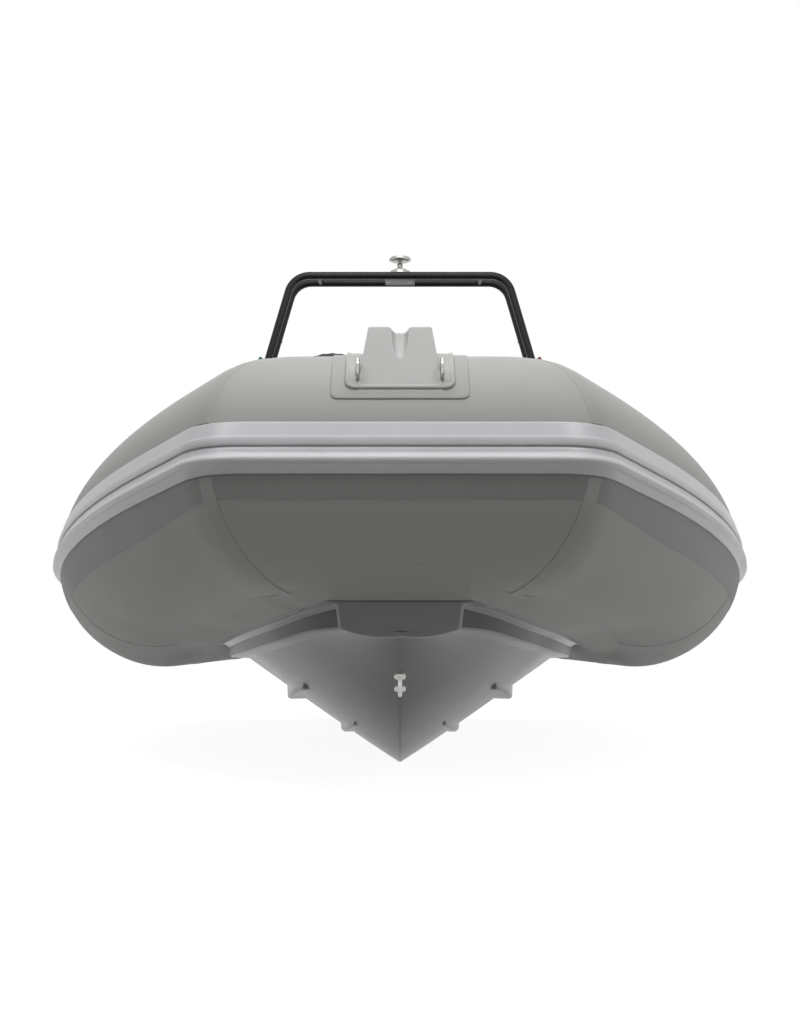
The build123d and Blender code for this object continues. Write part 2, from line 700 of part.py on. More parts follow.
def tow_post():
    """Turned post: deep base, waist, bulb, waist and a rounded head."""
    r = post_radius
    # columns: radius, height above the plate
    rows = [(0, 0), (r, 0), (r, 20), (r - 6, 29), (9, 31), (7, 36), (7, 42), (11, 48), (11.8, 53), (10.5, 60),
            (7.5, 66), (7.5, 70), (r - 6, 72), (r, 75), (r, 83), (r - 5, 88), (10, 91), (0, 92)]
    profile = make_face(Plane.XZ * Polyline(*rows, close=True))
    middle = (y_of(arch_front_station) + y_of(arch_back_station)) / 2
    return Pos(0, middle, post_plate_top) * revolve(profile, Axis.Z)


def nav_light():
    """Starboard side light on the outside of the front hoop."""
    lean = tan(radians(arch_lean))
    x = -(arch_knee_x - (light_z - arch_knee_z) * lean) - arch_tube / 2 / cos(radians(arch_lean)) - 6
    y = y_of(arch_front_station)
    low, high = light_z - light_height / 2, light_z + light_height / 2
    plane = Plane(origin=(0, y, 0), x_dir=(1, 0, 0), z_dir=(0, -1, 0))
    face = make_face(Polyline((x + 12, low), (x - light_width + 8, low), (x - light_width, low + 10),
                              (x - light_width + 4, high - 12), (x - light_width + 16, high), (x + 2, high - 4),
                              close=True))
    body = extrude(plane * face, light_depth / 2, both=True)
    path = hoop_path(arch_front_station)
    start = Plane(origin=path @ 0, z_dir=path % 0)
    return body - sweep(start * Circle(arch_tube / 2 + 0.2), path)


# ---------------------------------------------------------------- carry handles
# columns: station of each handle on the straight side tube
handle_stations = (1900.0, 2500.0)
handle_reach = 62.0
handle_rod = 20.0


def handles():
    made = []
    for station in handle_stations:
        path = FilletPolyline((-tube_x, y_of(station) - 75, tube_z + tube_radius - 30),
                              (-tube_x, y_of(station) - 60, tube_z + tube_radius + handle_reach - 15),
                              (-tube_x, y_of(station) + 60, tube_z + tube_radius + handle_reach - 15),
                              (-tube_x, y_of(station) + 75, tube_z + tube_radius - 30), radius=26)
        start = Plane(origin=path @ 0, z_dir=path % 0)
        grip = sweep(start * Circle(handle_rod / 2), path)
        level = Pos(-tube_x, y_of(station), tube_z) * Rot(90, 0, 0) * Cylinder(tube_radius + glue_gap, 300)
        grip = grip - level
        made += [grip, mirror(grip, about=Plane.YZ)]
    return made


def main():
    os.makedirs("parts", exist_ok=True)
    bow, side = along_tube(Circle(tube_radius), tube_radius)
    save("tube_bow", both_sides(bow))
    bow_strake, side_strake = along_tube(strake_section(), tube_radius + 20)
    save("strake_bow", both_sides(bow_strake))
    starboard = {"tube": side, "stern_cone": stern_cone(), "stern_cap": stern_cap(), "strake": side_strake,
                 "quarter_pod": quarter_pod(), "nav_light": nav_light()}
    for name, solid in starboard.items():
        save(f"{name}_starboard", solid)
        save(f"{name}_port", mirror(solid, about=Plane.YZ))
    vee = hull()
    save("hull", vee)
    rails = [rail - vee for rail in spray_rails()]
    save("spray_rails", *rails, *[mirror(rail, about=Plane.YZ) for rail in rails])
    save("transom", transom())
    save("sole", sole())
    save("engine_pads", *engine_pads())
    save("bow_patch", bow_patch())
    save("bow_pad", bow_pad())
    save("bow_chock", bow_chock())
    save("side_eyes", *side_eyes())
    save("bow_eye", bow_eye() - vee)
    save("stern_eyes", *stern_eyes())
    save("bow_locker", largest(locker() - vee))
    save("bow_locker_lid", locker_lid())
    save("console", console())
    save("helm_boss", helm_boss())
    save("steering_wheel", steering_wheel())
    save("throttle", throttle())
    save("bench", bench())
    save("bench_lid", bench_lid())
    save("bench_cushion", bench_cushion())
    save("backrest", backrest())
    save("backrest_posts", *backrest_posts())
    save("arch_hoop_front", hoop(arch_front_station))
    save("arch_hoop_rear", hoop(arch_back_station))
    save("arch_feet", *arch_feet())
    save("arch_struts", *arch_struts())
    save("post_plates", post_plate())
    save("tow_post", tow_post())
    save("grab_handles", *handles())


main()
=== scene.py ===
import math
import bpy
import numpy as np
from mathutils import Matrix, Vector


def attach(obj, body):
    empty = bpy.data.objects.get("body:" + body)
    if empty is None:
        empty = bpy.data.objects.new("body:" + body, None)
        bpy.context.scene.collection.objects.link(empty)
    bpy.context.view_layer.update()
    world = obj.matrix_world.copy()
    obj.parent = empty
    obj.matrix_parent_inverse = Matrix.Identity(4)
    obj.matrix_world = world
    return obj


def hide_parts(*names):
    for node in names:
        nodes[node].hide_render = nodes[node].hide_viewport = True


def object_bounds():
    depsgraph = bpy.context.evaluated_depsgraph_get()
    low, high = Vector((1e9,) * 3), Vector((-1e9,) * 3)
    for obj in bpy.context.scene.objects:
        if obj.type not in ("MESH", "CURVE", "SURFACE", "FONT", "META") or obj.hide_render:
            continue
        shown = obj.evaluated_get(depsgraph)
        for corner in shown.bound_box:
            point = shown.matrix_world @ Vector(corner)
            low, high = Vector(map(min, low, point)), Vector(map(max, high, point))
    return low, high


# Metres. +Z is up, the bow points along -Y and +X is the port side.
# Stations run aft from the centre line of the bow tube.
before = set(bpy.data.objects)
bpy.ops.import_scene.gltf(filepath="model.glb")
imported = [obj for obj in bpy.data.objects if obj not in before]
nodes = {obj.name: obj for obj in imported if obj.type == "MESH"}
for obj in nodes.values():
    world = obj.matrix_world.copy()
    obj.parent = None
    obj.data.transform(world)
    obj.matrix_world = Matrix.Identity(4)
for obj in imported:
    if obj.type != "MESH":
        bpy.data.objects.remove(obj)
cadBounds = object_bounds()
print("frame loaded")

boat = {
    "tubeRadius": 0.220,
    "bowHalfWidth": 0.213,  # from the middle to the mitred corner
    "turn": math.radians(61.0),  # plan angle at the mitre
    "mitreReach": 0.075,  # how far the mitre is rounded each way
    "oblique": 0.147,  # straight run aft of the mitre
    "shoulder": 3.140,  # radius of the first plan arc, and its angle
    "shoulderTurn": math.radians(17.4),
    "sideBend": 1.381,  # radius of the second plan arc
    "pitch": math.radians(6.2),  # climb of the forward part
    "sheer": 1.944,  # radius of the arc that levels it
    "tubeZ": 0.200,
    "coneStation": 3.150,
    "coneLength": 0.340,
    "coneEnd": 0.092,  # radius of the cone's small end
    "overall": 3.7605,
    "strakeProud": 0.0165,
}
sides = {"starboard": -1, "port": 1}
acrossBoat = np.array([-1, 1, 1])  # turns points over to the other side
turn, pitch = boat["turn"], boat["pitch"]
shoulderEnd = turn + boat["shoulderTurn"]
bentRun = (boat["oblique"] * math.sin(turn) + boat["shoulder"] * (math.cos(turn) - math.cos(shoulderEnd))
           + boat["sideBend"] * math.cos(shoulderEnd))
tubeX = (boat["bowHalfWidth"] + boat["oblique"] * math.cos(turn)
         + boat["shoulder"] * (math.sin(shoulderEnd) - math.sin(turn))
         + boat["sideBend"] * (1 - math.sin(shoulderEnd)))
bowZ = boat["tubeZ"] + bentRun * math.sin(pitch) + boat["sheer"] * (1 - math.cos(pitch))
levelStation = bentRun * math.cos(pitch) + boat["sheer"] * math.sin(pitch)
bowY = boat["tubeRadius"] + boat["strakeProud"] - boat["overall"] / 2


def yOf(station):
    # the bow tube's y plus the station
    return bowY + station


# mesh helpers

def unit(vectors):
    # each vector divided by its length
    return vectors / np.maximum(np.linalg.norm(vectors, axis=-1, keepdims=True), 1e-12)


def gridFaces(rows, columns, closeRows=False, closeColumns=False):
    # quads of a grid whose point (i, j) has the index i * columns + j
    i = np.arange(rows if closeRows else rows - 1)
    j = np.arange(columns if closeColumns else columns - 1)
    i, j = np.meshgrid(i, j, indexing="ij")
    below, beside = (i + 1) % rows, (j + 1) % columns
    quads = [i * columns + j, i * columns + beside, below * columns + beside, below * columns + j]
    return np.stack(quads, axis=-1).reshape(-1, 4)


def capFaces(count, start=0, over=False):
    # closes a ring that starts on its middle line: quads from side to side, a triangle at each end
    j, middle = np.arange(1, count // 2 - 1), count // 2
    blocks = [np.stack([j, j + 1, count - j - 1, count - j], -1), np.array([[0, 1, count - 1]]),
              np.array([[middle - 1, middle, middle + 1]])]
    return [(block[:, ::-1] if over else block) + start for block in blocks]


def joinParts(parts):
    # one list of points and faces from several, each part's faces counted on from the last one's points
    points, faces, start = [], [], 0
    for partPoints, partFaces in parts:
        points.append(np.asarray(partPoints, float).reshape(-1, 3))
        faces += [np.asarray(block) + start for block in partFaces]
        start += len(points[-1])
    return np.concatenate(points), faces


def newObject(name, points, faces):
    # a mesh object from a point array and blocks of faces with the same number of corners
    points = np.asarray(points, np.float32).reshape(-1, 3)
    corners = np.concatenate([np.ravel(block) for block in faces]).astype(np.int32)
    totals = np.concatenate([np.full(len(block), np.shape(block)[1]) for block in faces]).astype(np.int32)
    mesh = bpy.data.meshes.new(name)
    mesh.vertices.add(len(points))
    mesh.vertices.foreach_set("co", points.ravel())
    mesh.loops.add(len(corners))
    mesh.loops.foreach_set("vertex_index", corners)
    mesh.polygons.add(len(totals))
    mesh.polygons.foreach_set("loop_start", (np.cumsum(totals) - totals).astype(np.int32))
    mesh.polygons.foreach_set("loop_total", totals)
    mesh.update(calc_edges=True)
    mesh.validate()
    made = bpy.data.objects.new(name, mesh)
    bpy.context.scene.collection.objects.link(made)
    return made


def makePiece(name, parts, material, node=None, body="boat", uv=None, sharp=None):
    # a smooth piece from its parts, with the CAD node that it stands for and its material's slot
    piece = newObject(name, *joinParts(parts))
    mesh = piece.data
    mesh.polygons.foreach_set("use_smooth", np.full(len(mesh.polygons), True))
    if uv is not None:
        layer = mesh.uv_layers.new(name="UVMap")
        corner = np.zeros(len(mesh.loops), np.int32)
        mesh.loops.foreach_get("vertex_index", corner)
        layer.data.foreach_set("uv", np.asarray(uv, np.float32)[corner].ravel())
    if sharp is not None:
        mesh.set_sharp_from_angle(angle=math.radians(sharp))
    mesh.materials.append(material)
    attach(piece, body)
    if node:
        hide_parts(node)
    return piece


def lineUv(points):
    # real lengths along and across a grid of points, for the weave
    along, across = np.zeros(points.shape[:2]), np.zeros(points.shape[:2])
    along[1:] = np.cumsum(np.linalg.norm(np.diff(points, axis=0), axis=-1), axis=0)
    across[:, 1:] = np.cumsum(np.linalg.norm(np.diff(points, axis=1), axis=-1), axis=1)
    return np.stack([along, across], axis=-1).reshape(-1, 2)


def gridPiece(name, points, material, node=None, side="starboard", flip=False, closed=False, sharp=None):
    # a skin from a grid of points; the port one is mirrored
    uv = lineUv(points)
    faces = gridFaces(*points.shape[:2], closeColumns=closed)
    if side == "port":
        points = points * acrossBoat
    if flip != (side == "port"):
        faces = faces[:, ::-1]
    return makePiece(name, [(points, [faces])], material, node, uv=uv, sharp=sharp)


def smoothed(rows, width):
    # moving mean down the rows of a table, its ends held
    padded = np.concatenate([np.repeat(rows[:1], width // 2, 0), rows, np.repeat(rows[-1:], width // 2, 0)])
    total = np.cumsum(np.concatenate([np.zeros_like(rows[:1]), padded]), axis=0)
    return (total[width:] - total[:-width]) / width


def pathSides(path, closed=False):
    # two axes square to a path, each carried on from the last so that a section doesn't twist
    ahead = np.roll(path, -1, 0) - np.roll(path, 1, 0) if closed else np.gradient(path, axis=0)
    tangent = unit(ahead)
    first = np.array([0.0, 0.0, 1.0]) if abs(tangent[0][2]) < 0.9 else np.array([1.0, 0.0, 0.0])
    side = np.zeros_like(path)
    side[0] = unit(np.cross(tangent[0], first))
    for i in range(1, len(path)):
        side[i] = unit(side[i - 1] - tangent[i] * np.dot(side[i - 1], tangent[i]))
    return side, np.cross(tangent, side)


def rodParts(path, radius, sides=24, closed=False):
    # circles along a path, with domed ends when it is open
    path = np.asarray(path, float)
    radius = np.broadcast_to(np.asarray(radius, float), len(path))
    if not closed:
        # how far out and how wide a dome's two rings are, in radii
        out, wide = np.array([0.3, 0.2])[:, None], np.array([0.5, 0.87])
        behind, ahead = unit(path[0] - path[1]), unit(path[-1] - path[-2])
        path = np.concatenate([path[0] + behind * radius[0] * out, path,
                               path[-1] + ahead * radius[-1] * out[::-1]])
        radius = np.concatenate([radius[0] * wide, radius, radius[-1] * wide[::-1]])
    side, up = pathSides(path, closed)
    angle = np.linspace(0, 2 * math.pi, sides, endpoint=False)[None, :, None]
    circle = side[:, None] * np.cos(angle) + up[:, None] * np.sin(angle)
    points = path[:, None] + circle * radius[:, None, None]
    faces = [gridFaces(len(path), sides, closeRows=closed, closeColumns=True)[:, ::-1]]
    if not closed:
        end = np.arange(sides)[None]
        faces += [end, end[:, ::-1] + (len(path) - 1) * sides]
    return points.reshape(-1, 3), faces


def cornerBend(before, corner, after):
    # directions into and out of a corner, and the angle between them
    into, out = unit(corner - before), unit(after - corner)
    return into, out, math.acos(max(-1.0, min(1.0, float(np.dot(into, out)))))


def arcPath(corners, radii, steps=8):
    # straight runs whose corners are rounded by arcs; each arc starts radius * tan(bend / 2) short
    corners = [np.array(corner, float) for corner in corners]
    path = [corners[0]]
    for before, corner, after, radius in zip(corners, corners[1:], corners[2:], radii):
        into, out, bend = cornerBend(before, corner, after)
        if bend < 1e-4:
            path.append(corner)
            continue
        start = corner - into * radius * math.tan(bend / 2)
        inward = unit(out - into * np.dot(into, out))
        turned = np.linspace(0, bend, steps + 1)[:, None]
        path.extend(start + inward * radius * (1 - np.cos(turned)) + into * radius * np.sin(turned))
    path.append(corners[-1])
    return np.array(path)


def roundedProfile(corners, radius, steps=5):
    # rounds the inner corners of an open list of pairs, as far as their neighbours leave room
    corners = np.array(corners, float)
    flat = np.column_stack([corners[:, 0], np.zeros(len(corners)), corners[:, 1]])
    limits = []
    for before, corner, after, most in zip(flat, flat[1:], flat[2:], np.broadcast_to(radius, len(flat) - 2)):
        bend = cornerBend(before, corner, after)[2]
        room = 0.45 * min(np.linalg.norm(corner - before), np.linalg.norm(after - corner))
        limits.append(min(most, room / max(math.tan(bend / 2), 1e-3)))
    return arcPath(flat, limits, steps)[:, [0, 2]]


def placed(part, origin, axisX=(1, 0, 0), axisY=(0, 1, 0), axisZ=(0, 0, 1)):
    # moves a part into place; the three axes are where its own x, y and z go
    points, faces = part
    return points @ np.array([axisX, axisY, axisZ], float) + np.array(origin, float), faces


def mirrored(part):
    # the part on the other side of the boat, its faces turned over
    points, faces = part
    return points * acrossBoat, [np.asarray(block)[:, ::-1] for block in faces]


def lathe(profile, origin=(0, 0, 0), *axes, edge=0.0, steps=48, roundSteps=5):
    # revolves (radius, height) pairs about its own z, with their corners rounded; ends on the axis close it
    profile = roundedProfile(profile, edge, roundSteps) if edge else np.asarray(profile, float)
    angle = np.linspace(0, 2 * math.pi, steps, endpoint=False)
    ring = np.stack([np.cos(angle), np.sin(angle)], axis=-1)
    points = np.concatenate([profile[:, None, :1] * ring, np.repeat(profile[:, None, 1:], steps, axis=1)], -1)
    return placed((points.reshape(-1, 3), [gridFaces(len(profile), steps, closeColumns=True)]), origin, *axes)


def block(size, edge, origin=(0, 0, 0), *axes, steps=4):
    # a box with rounded edges: a sphere's octants pushed out to the corners
    half = np.array(size, float) / 2
    edge = min(edge, *half)
    quarter = np.linspace(0, 90, steps + 1)
    polar = np.radians(np.concatenate([quarter - 90, quarter]))[:, None]
    around = np.radians(np.concatenate([quarter + 90 * k for k in range(4)]))[None, :]
    shift = np.repeat([[1, 1], [-1, 1], [-1, -1], [1, -1]], steps + 1, axis=0)
    lift = np.repeat([-1, 1], steps + 1)[:, None]
    x = edge * np.cos(polar) * np.cos(around) + (half[0] - edge) * shift[:, 0]
    y = edge * np.cos(polar) * np.sin(around) + (half[1] - edge) * shift[:, 1]
    z = edge * np.sin(polar) + (half[2] - edge) * lift + 0 * around
    rows, columns = x.shape
    end = np.arange(columns)[None]
    faces = [gridFaces(rows, columns, closeColumns=True), end[:, ::-1], end + (rows - 1) * columns]
    return placed((np.stack([x, y, z], axis=-1).reshape(-1, 3), faces), origin, *axes)


def bolt(place, axis, radius=0.0055, height=0.0042):
    # a domed hexagon head on its washer, standing out along an axis
    axis = unit(np.array(axis, float))
    side = unit(np.cross(axis, (0.31, 0.87, 0.39)))
    axes = side, np.cross(axis, side), axis
    washer = [(0.0, 0.0012), (radius * 1.35, 0.0012), (radius * 1.5, 0.0008), (radius * 1.5, -0.001)]
    head = [(0.0, height), (radius * 0.72, height), (radius * 0.98, height * 0.8), (radius, height * 0.7),
            (radius, 0.001)]
    return [lathe(washer, place, *axes, steps=24), lathe(head, place, *axes, steps=6)]


def roundedRing(halfX, halfY, corner, count):
    # a rounded rectangle as even steps round it, from the middle of its low side
    corners = [(0, -halfY, 0), (halfX, -halfY, 0), (halfX, halfY, 0), (0, halfY, 0)]
    path = arcPath(corners, [corner] * 2)[:, :2]
    length = pathLength(path)
    at = np.linspace(0, length[-1], count)
    half = np.stack([np.interp(at, length, path[:, 0]), np.interp(at, length, path[:, 1])], -1)
    return np.concatenate([half, half[-2:0:-1] * np.array([-1, 1])])


def pathLength(path):
    # the length run at each point of a path
    return np.concatenate([[0], np.cumsum(np.linalg.norm(np.diff(path, axis=0), axis=1))])


def hermite(stations, values, at):
    # smooth curve through a table's column, its slopes those of its neighbours
    stations, values = np.asarray(stations, float), np.asarray(values, float)
    slope = np.gradient(values, stations)
    i = np.clip(np.searchsorted(stations, at) - 1, 0, len(stations) - 2)
    span = stations[i + 1] - stations[i]
    t = (at - stations[i]) / span
    return ((1 + 2 * t) * (1 - t) ** 2 * values[i] + t * (1 - t) ** 2 * span * slope[i]
            + t ** 2 * (3 - 2 * t) * values[i + 1] + t ** 2 * (t - 1) * span * slope[i + 1])


# materials

def newMaterial(name, colour, rough, metal=0.0, coat=0.0, coatRough=0.05, sheen=0.0, specular=None):
    # a plain surface with its own gloss
    material = bpy.data.materials.new(name)
    material.use_nodes = True
    values = {"Base Color": (*colour, 1), "Roughness": rough, "Metallic": metal, "Coat Weight": coat,
              "Coat Roughness": coatRough, "Sheen Weight": sheen}
    if specular is not None:
        values["Specular IOR Level"] = specular
    for key, value in values.items():
        shaderOf(material).inputs[key].default_value = value
    return material


def shaderOf(material):
    # the material's main shader
    return material.node_tree.nodes["Principled BSDF"]


def addNode(material, kind, values={}, **settings):
    # a node with its settings and the values of its inputs
    node = material.node_tree.nodes.new(kind)
    for key, value in settings.items():
        setattr(node, key, value)
    for key, value in values.items():
        node.inputs[key].default_value = value
    return node


def link(material, source, target):
    # joins an output to an input
    material.node_tree.links.new(source, target)


def coordinates(material, which="Object", scale=(1, 1, 1)):
    # places on the object, stretched by a scale
    source = addNode(material, "ShaderNodeTexCoord")
    mapping = addNode(material, "ShaderNodeMapping", {"Scale": scale})
    link(material, source.outputs[which], mapping.inputs["Vector"])
    return mapping.outputs["Vector"]


def texture(material, kind, vector, values, output="Fac", **settings):
    # a procedural texture read at a vector
    node = addNode(material, kind, values, **settings)
    link(material, vector, node.inputs["Vector"])
    return node.outputs[output]


def noise(material, vector, scale, detail=2.0):
    # cloudy noise, from 0 to 1
    values = {"Scale": scale, "Detail": detail, "Roughness": 0.55}
    return texture(material, "ShaderNodeTexNoise", vector, values)


def ranged(material, value, low, high, fromLow=0.3, fromHigh=0.7):
    # a value stretched from one range to another and held at its ends
    node = addNode(material, "ShaderNodeMapRange",
                   {"From Min": fromLow, "From Max": fromHigh, "To Min": low, "To Max": high})
    link(material, value, node.inputs["Value"])
    return node.outputs["Result"]


def addBump(material, height, strength, distance):
    # roughens the surface on top of the bumps that it has
    normal = shaderOf(material).inputs["Normal"]
    bump = addNode(material, "ShaderNodeBump", {"Strength": strength, "Distance": distance})
    if normal.is_linked:
        link(material, normal.links[0].from_socket, bump.inputs["Normal"])
    link(material, height, bump.inputs["Height"])
    link(material, bump.outputs["Normal"], normal)


def varied(material, vector, scale, colour, tones, roughs):
    # slow drift of the colour, by its darkest and lightest share, and of the roughness
    drift = noise(material, vector, scale, 4.0)
    factor = ranged(material, drift, 0.0, 1.0)
    ends = [(*(min(1.0, channel * tone) for channel in colour), 1) for tone in tones]
    mixed = addNode(material, "ShaderNodeMix", data_type="RGBA")
    for key, end in zip("AB", ends):
        mixed.inputs[key].default_value = end
    link(material, factor, mixed.inputs["Factor"])
    link(material, mixed.outputs["Result"], shaderOf(material).inputs["Base Color"])
    link(material, ranged(material, drift, *roughs), shaderOf(material).inputs["Roughness"])


def fabricMaterial(name, colour, weave=0.25):
    # coated cloth: the threads show faintly through the matt coat
    material = newMaterial(name, colour, 0.6, sheen=0.08)
    place = coordinates(material)
    varied(material, place, 3.0, colour, (0.96, 1.05), (0.56, 0.66))
    threads = coordinates(material, "UV")
    for axis in "XY":
        wave = texture(material, "ShaderNodeTexWave", threads, {"Scale": 260.0, "Distortion": 0.4},
                       bands_direction=axis)
        addBump(material, wave, weave * 0.5, 0.0002)
    addBump(material, noise(material, place, 900.0), weave, 0.0002)
    return material


def mouldedMaterial(name, colour, rough, grain=0.15, grainScale=1400.0, **finish):
    # moulded rubber, plastic or powder coat with a fine grain
    material = newMaterial(name, colour, rough, **finish)
    place = coordinates(material)
    varied(material, place, 6.0, colour, (0.95, 1.06), (rough - 0.05, rough + 0.06))
    addBump(material, noise(material, place, grainScale), grain, 0.0002)
    return material


def gelcoatMaterial(name, colour, rough, coat, wave=0.02, specular=0.09):
    # pigmented resin under a clear gloss, with the faint unevenness of a laminate
    material = newMaterial(name, colour, rough, coat=coat, coatRough=0.04, specular=specular)
    place = coordinates(material)
    varied(material, place, 2.2, colour, (0.94, 1.08), (rough - 0.04, rough + 0.06))
    addBump(material, noise(material, place, 9.0), wave, 0.004)
    addBump(material, noise(material, place, 600.0), 0.03, 0.0002)
    return material


def metalMaterial(name, colour, rough):
    # brushed metal: fine lines along its length
    material = newMaterial(name, colour, rough, metal=1.0)
    lines = noise(material, coordinates(material, scale=(1, 1, 12)), 120.0, 4.0)
    link(material, ranged(material, lines, rough * 0.7, rough * 1.5), shaderOf(material).inputs["Roughness"])
    addBump(material, lines, 0.08, 0.0001)
    return material


def treadMaterial(name, colour):
    # moulded non-slip floor: small raised diamonds, the lower of two crossed waves
    material = newMaterial(name, colour, 0.6)
    place = coordinates(material)
    varied(material, place, 2.5, colour, (0.93, 1.06), (0.55, 0.68))
    turned = addNode(material, "ShaderNodeMapping", {"Rotation": (0, 0, math.radians(45))})
    link(material, place, turned.inputs["Vector"])
    waves = [texture(material, "ShaderNodeTexWave", turned.outputs["Vector"], {"Scale": 26.0},
                     bands_direction=axis) for axis in "XY"]
    lower = addNode(material, "ShaderNodeMath", operation="MINIMUM")
    for k, wave in enumerate(waves):
        link(material, wave, lower.inputs[k])
    addBump(material, ranged(material, lower.outputs["Value"], 0.0, 1.0, 0.25, 0.5), 0.6, 0.0012)
    addBump(material, noise(material, place, 500.0), 0.15, 0.0003)
    return material


def vinylMaterial(name, colour):
    # pebbled upholstery vinyl
    material = newMaterial(name, colour, 0.5, coat=0.08, coatRough=0.35)
    place = coordinates(material)
    varied(material, place, 5.0, colour, (0.94, 1.06), (0.46, 0.58))
    pebble = texture(material, "ShaderNodeTexVoronoi", place, {"Scale": 420.0}, "Distance")
    addBump(material, pebble, 0.3, 0.0004)
    return material


tubeFabric = fabricMaterial("tube fabric", (0.325, 0.321, 0.308))
tapeFabric = fabricMaterial("seam tape", (0.310, 0.306, 0.294), 0.15)
# partly painted shade: the strip's tone is set below the tube's to stand in for the strake's shadow on the
# tube under it, as well as the strip's own colour
wearStripAndShade = fabricMaterial("wear strip and painted shade", (0.225, 0.222, 0.216), 0.35)
strakeRubber = mouldedMaterial("strake rubber", (0.55, 0.545, 0.565), 0.40, 0.06, coat=0.25, coatRough=0.3)
padRubber = mouldedMaterial("pad rubber", (0.345, 0.342, 0.330), 0.50, 0.12)
mouldedRubber = mouldedMaterial("moulded rubber", (0.42, 0.42, 0.41), 0.45, 0.12, coat=0.15)
hullGelcoat = gelcoatMaterial("dark gelcoat", (0.310, 0.305, 0.315), 0.3, 0.02)
# painted reflection: a near-black gelcoat that stands in for the dark surroundings reflected on the hull's
# glossy upright band
paintedReflectionBand = gelcoatMaterial("hull side band painted reflection", (0.050, 0.054, 0.048), 0.4, 0.0, specular=0.12)
linerGelcoat = gelcoatMaterial("light gelcoat", (0.52, 0.52, 0.52), 0.3, 0.5, 0.03)
deckTread = treadMaterial("non-slip deck", (0.36, 0.36, 0.37))
blackCoat = mouldedMaterial("black powder coat", (0.006, 0.006, 0.0065), 0.38, 0.10, 900.0, specular=0.28)
blackPlastic = mouldedMaterial("black plastic", (0.022, 0.022, 0.023), 0.42, 0.2)
rimGrip = mouldedMaterial("wheel grip", (0.020, 0.020, 0.021), 0.62, 0.35, 700.0)
gaugeFace = mouldedMaterial("gauge face", (0.012, 0.012, 0.014), 0.12, 0.0, 300.0, coat=1.0)
gaugeMark = mouldedMaterial("gauge marks", (0.75, 0.75, 0.72), 0.5, 0.0, 300.0)
stainless = metalMaterial("stainless steel", (0.44, 0.43, 0.41), 0.27)
vinyl = vinylMaterial("marine vinyl", (0.21, 0.21, 0.215))
pipingVinyl = vinylMaterial("piping", (0.10, 0.10, 0.105))
lenses = {
    "starboard": newMaterial("green lens", (0.0, 0.30, 0.20), 0.12, coat=1.0),
    "port": newMaterial("red lens", (0.55, 0.03, 0.015), 0.12, coat=1.0),
}
print("materials made")

# the CAD nodes by material, also those that a piece stands for
nodeMaterials = {
    hullGelcoat: "hull spray_rails transom",
    deckTread: "sole",
    blackPlastic: "engine_pads helm_boss steering_wheel throttle",
    tapeFabric: "bow_patch",
    padRubber: "bow_pad",
    mouldedRubber: "bow_chock grab_handles stern_cap_starboard stern_cap_port",
    stainless: "side_eyes bow_eye stern_eyes tow_post",
    linerGelcoat: "bow_locker bow_locker_lid console bench bench_lid quarter_pod_starboard quarter_pod_port",
    vinyl: "bench_cushion backrest",
    blackCoat: "backrest_posts arch_hoop_front arch_hoop_rear arch_feet arch_struts post_plates",
    lenses["starboard"]: "nav_light_starboard",
    lenses["port"]: "nav_light_port",
    strakeRubber: "strake_bow strake_starboard strake_port",
    tubeFabric: "tube_bow tube_starboard tube_port stern_cone_starboard stern_cone_port",
}
for material, names in nodeMaterials.items():
    for name in names.split():
        nodes[name].data.materials.clear()
        nodes[name].data.materials.append(material)


# air tubes

def direction(angle):
    # along the raised forward part of the starboard tube, at a plan angle from athwartships
    return np.stack([-np.cos(angle), np.sin(angle) * math.cos(pitch), -np.sin(angle) * math.sin(pitch)], -1)


def outward(angle):
    # square to that direction, away from the boat
    return np.stack([-np.sin(angle), -np.cos(angle) * math.cos(pitch), np.cos(angle) * math.sin(pitch)], -1)


bowUp = np.array([0.0, math.sin(pitch), math.cos(pitch)])
bowCentre = np.array([0.0, bowY, bowZ])
bowCorner = bowCentre + np.array([-boat["bowHalfWidth"], 0.0, 0.0])
bendStart = bowCorner + direction(turn) * boat["oblique"]
shoulderLength = boat["oblique"] + boat["shoulder"] * boat["shoulderTurn"]
lastTurn = math.pi / 2 - shoulderEnd
bendLength = shoulderLength + boat["sideBend"] * lastTurn
sheerLength = boat["sheer"] * pitch
levelLength = boat["coneStation"] - levelStation
sideLength = bendLength + sheerLength + levelLength


def sidePoint(run, out, up):
    # points of the starboard tube aft of the bow corner, by their run along its centre line
    # in turn: a straight, two plan arcs, a vertical arc and a level straight
    run, out, up = np.broadcast_arrays(np.asarray(run, float), out, up)
    straight = np.minimum(run, boat["oblique"])
    first = turn + np.clip((run - boat["oblique"]) / boat["shoulder"], 0, boat["shoulderTurn"])
    angle = first + np.clip((run - shoulderLength) / boat["sideBend"], 0, lastTurn)
    lowered = np.clip((run - bendLength) / boat["sheer"], 0, pitch)
    level = np.maximum(run - bendLength - sheerLength, 0)
    away = outward(angle)
    firstCentre = bendStart - outward(turn) * boat["shoulder"]
    point = firstCentre + outward(first) * (boat["shoulder"] - boat["sideBend"]) + away * boat["sideBend"]
    point = point + (straight - boat["oblique"])[..., None] * direction(turn)
    # the vertical arc turns the pitched axes level
    steep = pitch - lowered
    upAxis = np.stack([np.zeros_like(steep), np.sin(steep), np.cos(steep)], -1)
    sheerCentre = point + bowUp * boat["sheer"]
    point = np.where((lowered > 0)[..., None], sheerCentre - upAxis * boat["sheer"], point)
    point = point + level[..., None] * np.array([0.0, 1.0, 0.0])
    return point + out[..., None] * away + up[..., None] * upAxis


def mitreShift(out):
    # how much further a line runs to the mitre than the centre line does
    return out * math.tan(turn / 2)


